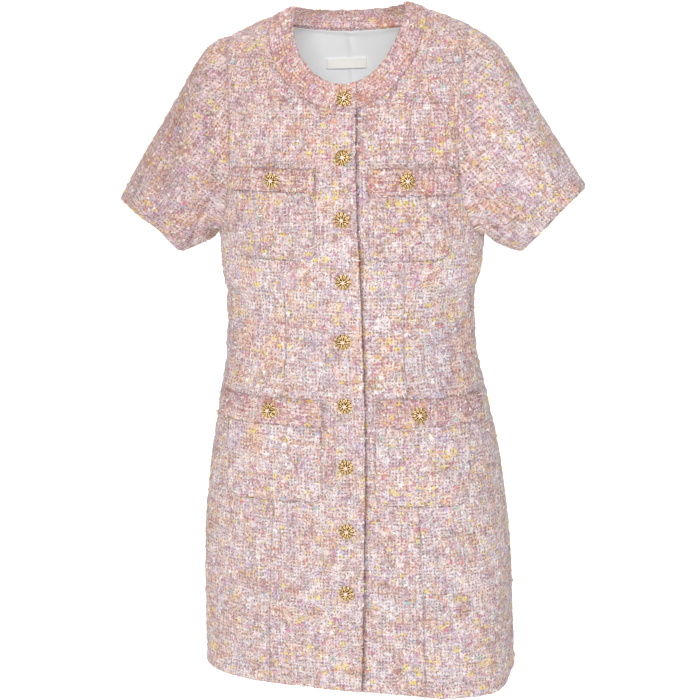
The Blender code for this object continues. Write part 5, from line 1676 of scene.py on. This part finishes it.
def label():
    columns, rows = 30, 12
    x, z = np.meshgrid(
        LABEL_X + LABEL_WIDTH * np.linspace(-0.5, 0.5, columns + 1), LABEL_Z + LABEL_HEIGHT * np.linspace(-0.5, 0.5, rows + 1)
    )
    turn, drop = turn_at(x, z, back=True), drop_of(z)
    across = (x - LABEL_X) / LABEL_WIDTH * 2
    # held down at its two ends, standing off a little along its lower edge
    loose = 1.4 * (1 - across**2) * (0.25 + 0.75 * smooth((LABEL_Z + LABEL_HEIGHT / 2 - z) / LABEL_HEIGHT))
    over_pleat = 1.3
    lift = -CLOTH - LINING_GAP - LINING_WALL - LABEL_GAP - over_pleat * 0.6 - loose
    normals = outward(turn, drop)
    points = on_form(turn, drop, lift)
    weave = np.stack([x - LABEL_X, z - LABEL_Z], axis=-1)
    kinds = dict.fromkeys(("first", "last", "bottom", "top"), "flush")
    obj, _ = cloth("neck_label", points, normals, weave, kinds, LABEL_TAPE, "label_tape", 33, thickness=0.7, both=True, rise=0.0)
    # its two ends are turned under; small stitches hold them, but the doubled edge is not built
    stitches = []
    for end in (-1, 1):
        for k in range(6):
            sx = LABEL_X + end * (LABEL_WIDTH / 2 - 2.2)
            sz = LABEL_Z + LABEL_HEIGHT * (-0.42 + 0.168 * k)
            stitches.append((sx, sz))
    sx, sz = np.array(stitches).T
    turn, drop = turn_at(sx, sz, back=True), drop_of(sz)
    base = on_form(turn, drop, np.full(len(sx), -CLOTH - LINING_GAP - LINING_WALL - LABEL_GAP - over_pleat * 0.6 - 0.9))
    normal = outward(turn, drop)
    up = np.broadcast_to(np.array([0.0, 0.0, 1.0]), normal.shape)
    bm = bmesh.new()
    for b, n, w in zip(base, normal, up):
        mesh_ball(bm, b, unit(np.cross(w, n)), w, n, (0.22, 0.75, 0.22), 6, 4)
    mesh = bpy.data.meshes.new("label_stitches")
    bm.to_mesh(mesh)
    bm.free()
    mesh.shade_smooth()
    new_stitch = new_piece("label_stitches", mesh, "label_tape", SLUB_PLAIN)
    declare(obj, weave, points)


def mesh_ball(bm, centre, x_way, y_way, z_way, radii, around, rings):
    """A small rounded body."""
    rows = []
    for r in range(1, rings):
        a = math.pi * r / rings
        row = []
        for k in range(around):
            b = 2 * math.pi * k / around
            p = (
                centre
                + x_way * radii[0] * math.sin(a) * math.cos(b)
                + y_way * radii[1] * math.cos(a)
                + z_way * radii[2] * math.sin(a) * math.sin(b)
            )
            row.append(bm.verts.new(Vector(p * MM)))
        rows.append(row)
    first = bm.verts.new(Vector((centre + y_way * radii[1]) * MM))
    last = bm.verts.new(Vector((centre - y_way * radii[1]) * MM))
    for k in range(around):
        m = (k + 1) % around
        bm.faces.new((first, rows[0][k], rows[0][m]))
        bm.faces.new((last, rows[-1][m], rows[-1][k]))
        for a, b in zip(rows, rows[1:]):
            bm.faces.new((a[k], b[k], b[m], a[m]))


# ---------------------------------------------------------------- buttons
def ring_tube(bm, path, radius, sides, material):
    """A closed tube along a closed path of points, which lie near the plane of the button."""
    path = np.asarray(path, float)
    ahead = unit(np.roll(path, -1, axis=0) - np.roll(path, 1, axis=0))
    up = np.broadcast_to(np.array([0.0, 0.0, 1.0]), ahead.shape)
    side = unit(np.cross(ahead, up))
    up = np.cross(side, ahead)
    radius = np.broadcast_to(radius, len(path))
    rows = []
    for p, s, w, r in zip(path, side, up, radius):
        rows.append(
            [
                bm.verts.new(Vector((p + r * (s * math.cos(a) + w * math.sin(a))) * MM))
                for a in np.linspace(0, 2 * math.pi, sides, endpoint=False)
            ]
        )
    for i in range(len(rows)):
        a, b = rows[i], rows[(i + 1) % len(rows)]
        for k in range(sides):
            face = bm.faces.new((a[k], a[(k + 1) % sides], b[(k + 1) % sides], b[k]))
            face.material_index = material


def turned(bm, profile, around, material):
    """A closed turned body from a profile of radii and heights that starts and ends on the axis."""
    rows = []
    for r, h in profile:
        if r == 0:
            rows.append([bm.verts.new((0, 0, h * MM))])
        else:
            rows.append(
                [
                    bm.verts.new((r * MM * math.cos(a), r * MM * math.sin(a), h * MM))
                    for a in np.linspace(0, 2 * math.pi, around, endpoint=False)
                ]
            )
    for a, b in zip(rows, rows[1:]):
        for k in range(around):
            m = (k + 1) % around
            four = [a[k % len(a)], a[m % len(a)], b[m % len(b)], b[k % len(b)]]
            face = bm.faces.new(list(dict.fromkeys(four)))
            face.material_index = material


def ball(bm, centre, radii, turn, material, around=8, rings=5):
    before = set(bm.faces)
    way = np.array([math.cos(turn), math.sin(turn), 0.0])
    mesh_ball(bm, np.array(centre, float), way, np.array([0.0, 0.0, 1.0]), np.array([-way[1], way[0], 0.0]), radii, around, rings)
    for face in bm.faces:
        if face not in before:
            face.material_index = material


PETALS = 11


def flower_button():
    """A cast openwork flower: narrow petals stand apart over a dark hollow ground, with a bead at each tip, a
    wreath of small leaves, and a cut stone held by claws."""
    bm = bmesh.new()
    turned(bm, ((0, 1.6), (6.2, 1.5), (8.6, 1.2), (9.0, 0.9), (8.6, 0.6), (3.3, 0.5), (2.4, 0.3), (2.2, -1.2), (0, -1.4)), 40, 1)
    for k in range(PETALS):
        a = 2 * math.pi * k / PETALS
        way = np.array([math.cos(a), math.sin(a), 0])
        aside = np.array([-math.sin(a), math.cos(a), 0])
        long = 0.35 * math.sin(2.4 * k)  # no two are quite alike
        # a petal: two wires that part and meet, and a bead where they meet
        path = []
        for t in np.linspace(0, 2 * math.pi, 14, endpoint=False):
            reach = 7.2 + (2.6 + long) * math.cos(t)
            path.append(way * reach + aside * 1.15 * math.sin(t) * (0.8 + 0.3 * math.cos(t)) + np.array([0, 0, 3.3 - 0.055 * (reach - 4.5) ** 2]))
        ring_tube(bm, path, 0.55, 6, 0)
        ball(bm, way * (9.9 + long) + np.array([0, 0, 2.3]), (1.05, 0.95, 1.0), a, 0)
        ball(bm, way * 5.2 + np.array([0, 0, 3.6]), (0.8, 0.7, 0.65), a, 0, 7, 5)
    for k in range(7):
        a = 2 * math.pi * (k + 0.5) / 7
        way = np.array([math.cos(a), math.sin(a), 0])
        ball(bm, way * 3.5 + np.array([0, 0, 4.3]), (1.15, 0.75, 0.85), a, 0, 8, 6)
    for k in range(5):
        a = 2 * math.pi * k / 5
        ball(bm, np.array([2.2 * math.cos(a), 2.2 * math.sin(a), 5.0]), (0.7, 0.5, 0.42), a, 0, 6, 4)
    turned(bm, ((0, 5.5), (1.25, 5.45), (2.05, 5.0), (2.45, 4.4), (2.3, 3.2), (0, 3.0)), 8, 2)
    bmesh.ops.recalc_face_normals(bm, faces=bm.faces[:])
    mesh = bpy.data.meshes.new("flower_button")
    bm.to_mesh(mesh)
    bm.free()
    for material in (GOLD_BRIGHT, GOLD_DEEP, STONE):
        mesh.materials.append(material)
    smooth_faces = np.ones(len(mesh.polygons), bool)
    index = np.empty(len(mesh.polygons), np.int32)
    mesh.polygons.foreach_get("material_index", index)
    smooth_faces[index == 2] = False
    mesh.polygons.foreach_set("use_smooth", smooth_faces)
    return mesh


def buttons():
    mesh = flower_button()
    places = [("front_button_%d" % n, from_row, z, LAP_LIFT + UNDER_BUTTON) for n, (z, from_row) in enumerate(BUTTON_ROW, 1)]
    on_flap = FLAP_ROWS[0][1] + CLOTH + UNDER_BUTTON
    for n, (side, (from_row, z)) in enumerate(((-1, BREAST_BUTTON), (1, BREAST_BUTTON), (-1, HIP_BUTTON), (1, HIP_BUTTON)), 1):
        places.append(("pocket_button_%d" % n, side * from_row, z, on_flap))
    for k, (name, from_row, z, out) in enumerate(places):
        turn, drop = front_turn(np.array([from_row]), np.array([z])), drop_of(np.array([z]))
        point, normal = on_form(turn, drop, np.array([out + 0.4]))[0], outward(turn, drop)[0]
        # each hangs on its thread at a slightly different angle
        nod = np.array([0.10 * math.sin(2.1 * k + 0.4), 0.0, 0.09 * math.cos(1.7 * k)])
        facing = Vector(unit(normal + nod))
        obj = bpy.data.objects.new(name + "_flower", mesh)
        bpy.context.scene.collection.objects.link(obj)
        spin = Matrix.Rotation(0.9 * k + 0.3, 4, "Z")
        obj.matrix_world = Matrix.Translation(Vector(point * MM)) @ facing.to_track_quat("Z", "Y").to_matrix().to_4x4() @ spin
        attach(obj, "root")
        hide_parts(name)


SLUB_PLAIN = slub_yarn("label_thread", ((1, (232, 234, 230)), (1, (224, 226, 224))))

# ---------------------------------------------------------------- the pieces
fronts()
neck_band()
sleeve("right", -1, 17)
sleeve("left", 1, 18)
pockets()
lining()
label()
buttons()

# ---------------------------------------------------------------- floor, lights and camera
FLOOR_Z = -1.12


def studio():
    """A wide pale floor that sweeps up into a backdrop behind."""
    rows = [(y, FLOOR_Z) for y in (-12.0, -6.0, -3.0, 0.0, 2.2)]
    for t in np.linspace(0, math.pi / 2, 12)[1:]:
        rows.append((2.2 + 1.4 * math.sin(t), FLOOR_Z + 1.4 * (1 - math.cos(t))))
    rows.append((3.6, 3.2))
    bm = bmesh.new()
    # wide where it lies flat, and narrower where it stands
    lines = []
    for y, z in rows:
        wide = 4.5 if y > 2.0 else 12.0
        lines.append([bm.verts.new((x, y, z)) for x in (-wide, -4.5, 4.5, wide)])
    for a, b in zip(lines, lines[1:]):
        for k in range(3):
            if k == 1 or b[0].co.y < 2.0:
                bm.faces.new((a[k], a[k + 1], b[k + 1], b[k]))
    for west, east in ((-12.0, -4.5), (4.5, 12.0)):
        corners = ((west, 2.2), (east, 2.2), (east, 12.0), (west, 12.0))
        bm.faces.new([bm.verts.new((x, y, FLOOR_Z)) for x, y in corners])
    mesh = bpy.data.meshes.new("studio_floor")
    bm.to_mesh(mesh)
    bm.free()
    mesh.shade_smooth()
    obj = bpy.data.objects.new("studio_floor", mesh)
    bpy.context.scene.collection.objects.link(obj)
    g = Graph("floor_paper")
    position = g.add("ShaderNodeTexCoord").outputs["Object"]
    g.put(g.shader.inputs["Base Color"], g.mix(g.noise(position, 3.0, 2.0)[0], linear(246, 246, 246), linear(250, 250, 250)))
    g.shader.inputs["Roughness"].default_value = 0.9
    g.shader.inputs["Emission Color"].default_value = (1.0, 1.0, 1.0, 1.0)
    g.shader.inputs["Emission Strength"].default_value = 0.28
    mesh.materials.append(g.material)


def area_light(name, place, aim, size, power, colour):
    light = bpy.data.lights.new(name, "AREA")
    light.shape, light.size, light.size_y = "RECTANGLE", size[0], size[1]
    light.energy, light.color = power, colour
    obj = bpy.data.objects.new(name, light)
    bpy.context.scene.collection.objects.link(obj)
    obj.location = place
    obj.rotation_euler = (Vector(aim) - Vector(place)).to_track_quat("-Z", "Y").to_euler()


studio()
area_light("key", (0.55, -3.5, 1.15), (0.0, 0.0, -0.30), (2.0, 2.0), 102.0, (0.99, 0.995, 1.0))
area_light("fill", (-2.6, -1.4, 0.4), (0.0, 0.0, -0.4), (1.6, 1.6), 17.0, (1.0, 0.84, 0.70))
area_light("side_fill", (2.0, -2.9, 0.3), (0.0, 0.0, -0.3), (1.4, 1.4), 20.0, (1.0, 0.99, 0.98))
area_light("overhead", (-0.3, -0.6, 2.4), (0.0, 0.0, -0.4), (2.0, 2.0), 21.0, (1.0, 0.88, 0.75))
area_light("backdrop_light", (0.0, 1.2, 3.0), (0.0, 3.4, 0.2), (4.0, 1.0), 90.0, (1.0, 1.0, 1.0))
world = bpy.data.worlds.new("studio_light")
world.use_nodes = True
world.node_tree.nodes["Background"].inputs["Color"].default_value = (0.97, 0.98, 1.0, 1.0)
world.node_tree.nodes["Background"].inputs["Strength"].default_value = 0.17
bpy.context.scene.world = world
bpy.context.scene.view_settings.view_transform = "Standard"

# The camera stands to the wearer's left of the middle, at shoulder height, and looks a little down
camera = bpy.data.objects.new("camera", bpy.data.cameras.new("camera"))
bpy.context.scene.collection.objects.link(camera)
right = Vector((0.97992, 0.19892, -0.01344)).normalized()
up = Vector((-0.02458, 0.18745, 0.98197))
up = (up - right * up.dot(right)).normalized()
back_way = right.cross(up)
turned_frame = Matrix((right, up, back_way)).transposed()
camera.matrix_world = Matrix.Translation((0.3888, -1.9109, -0.0226)) @ turned_frame.to_4x4()
camera.data.sensor_width = 36.0
camera.data.lens = 79.64
camera.data.shift_y = -0.043
camera.data.clip_start, camera.data.clip_end = 0.05, 50.0
bpy.context.scene.camera = camera
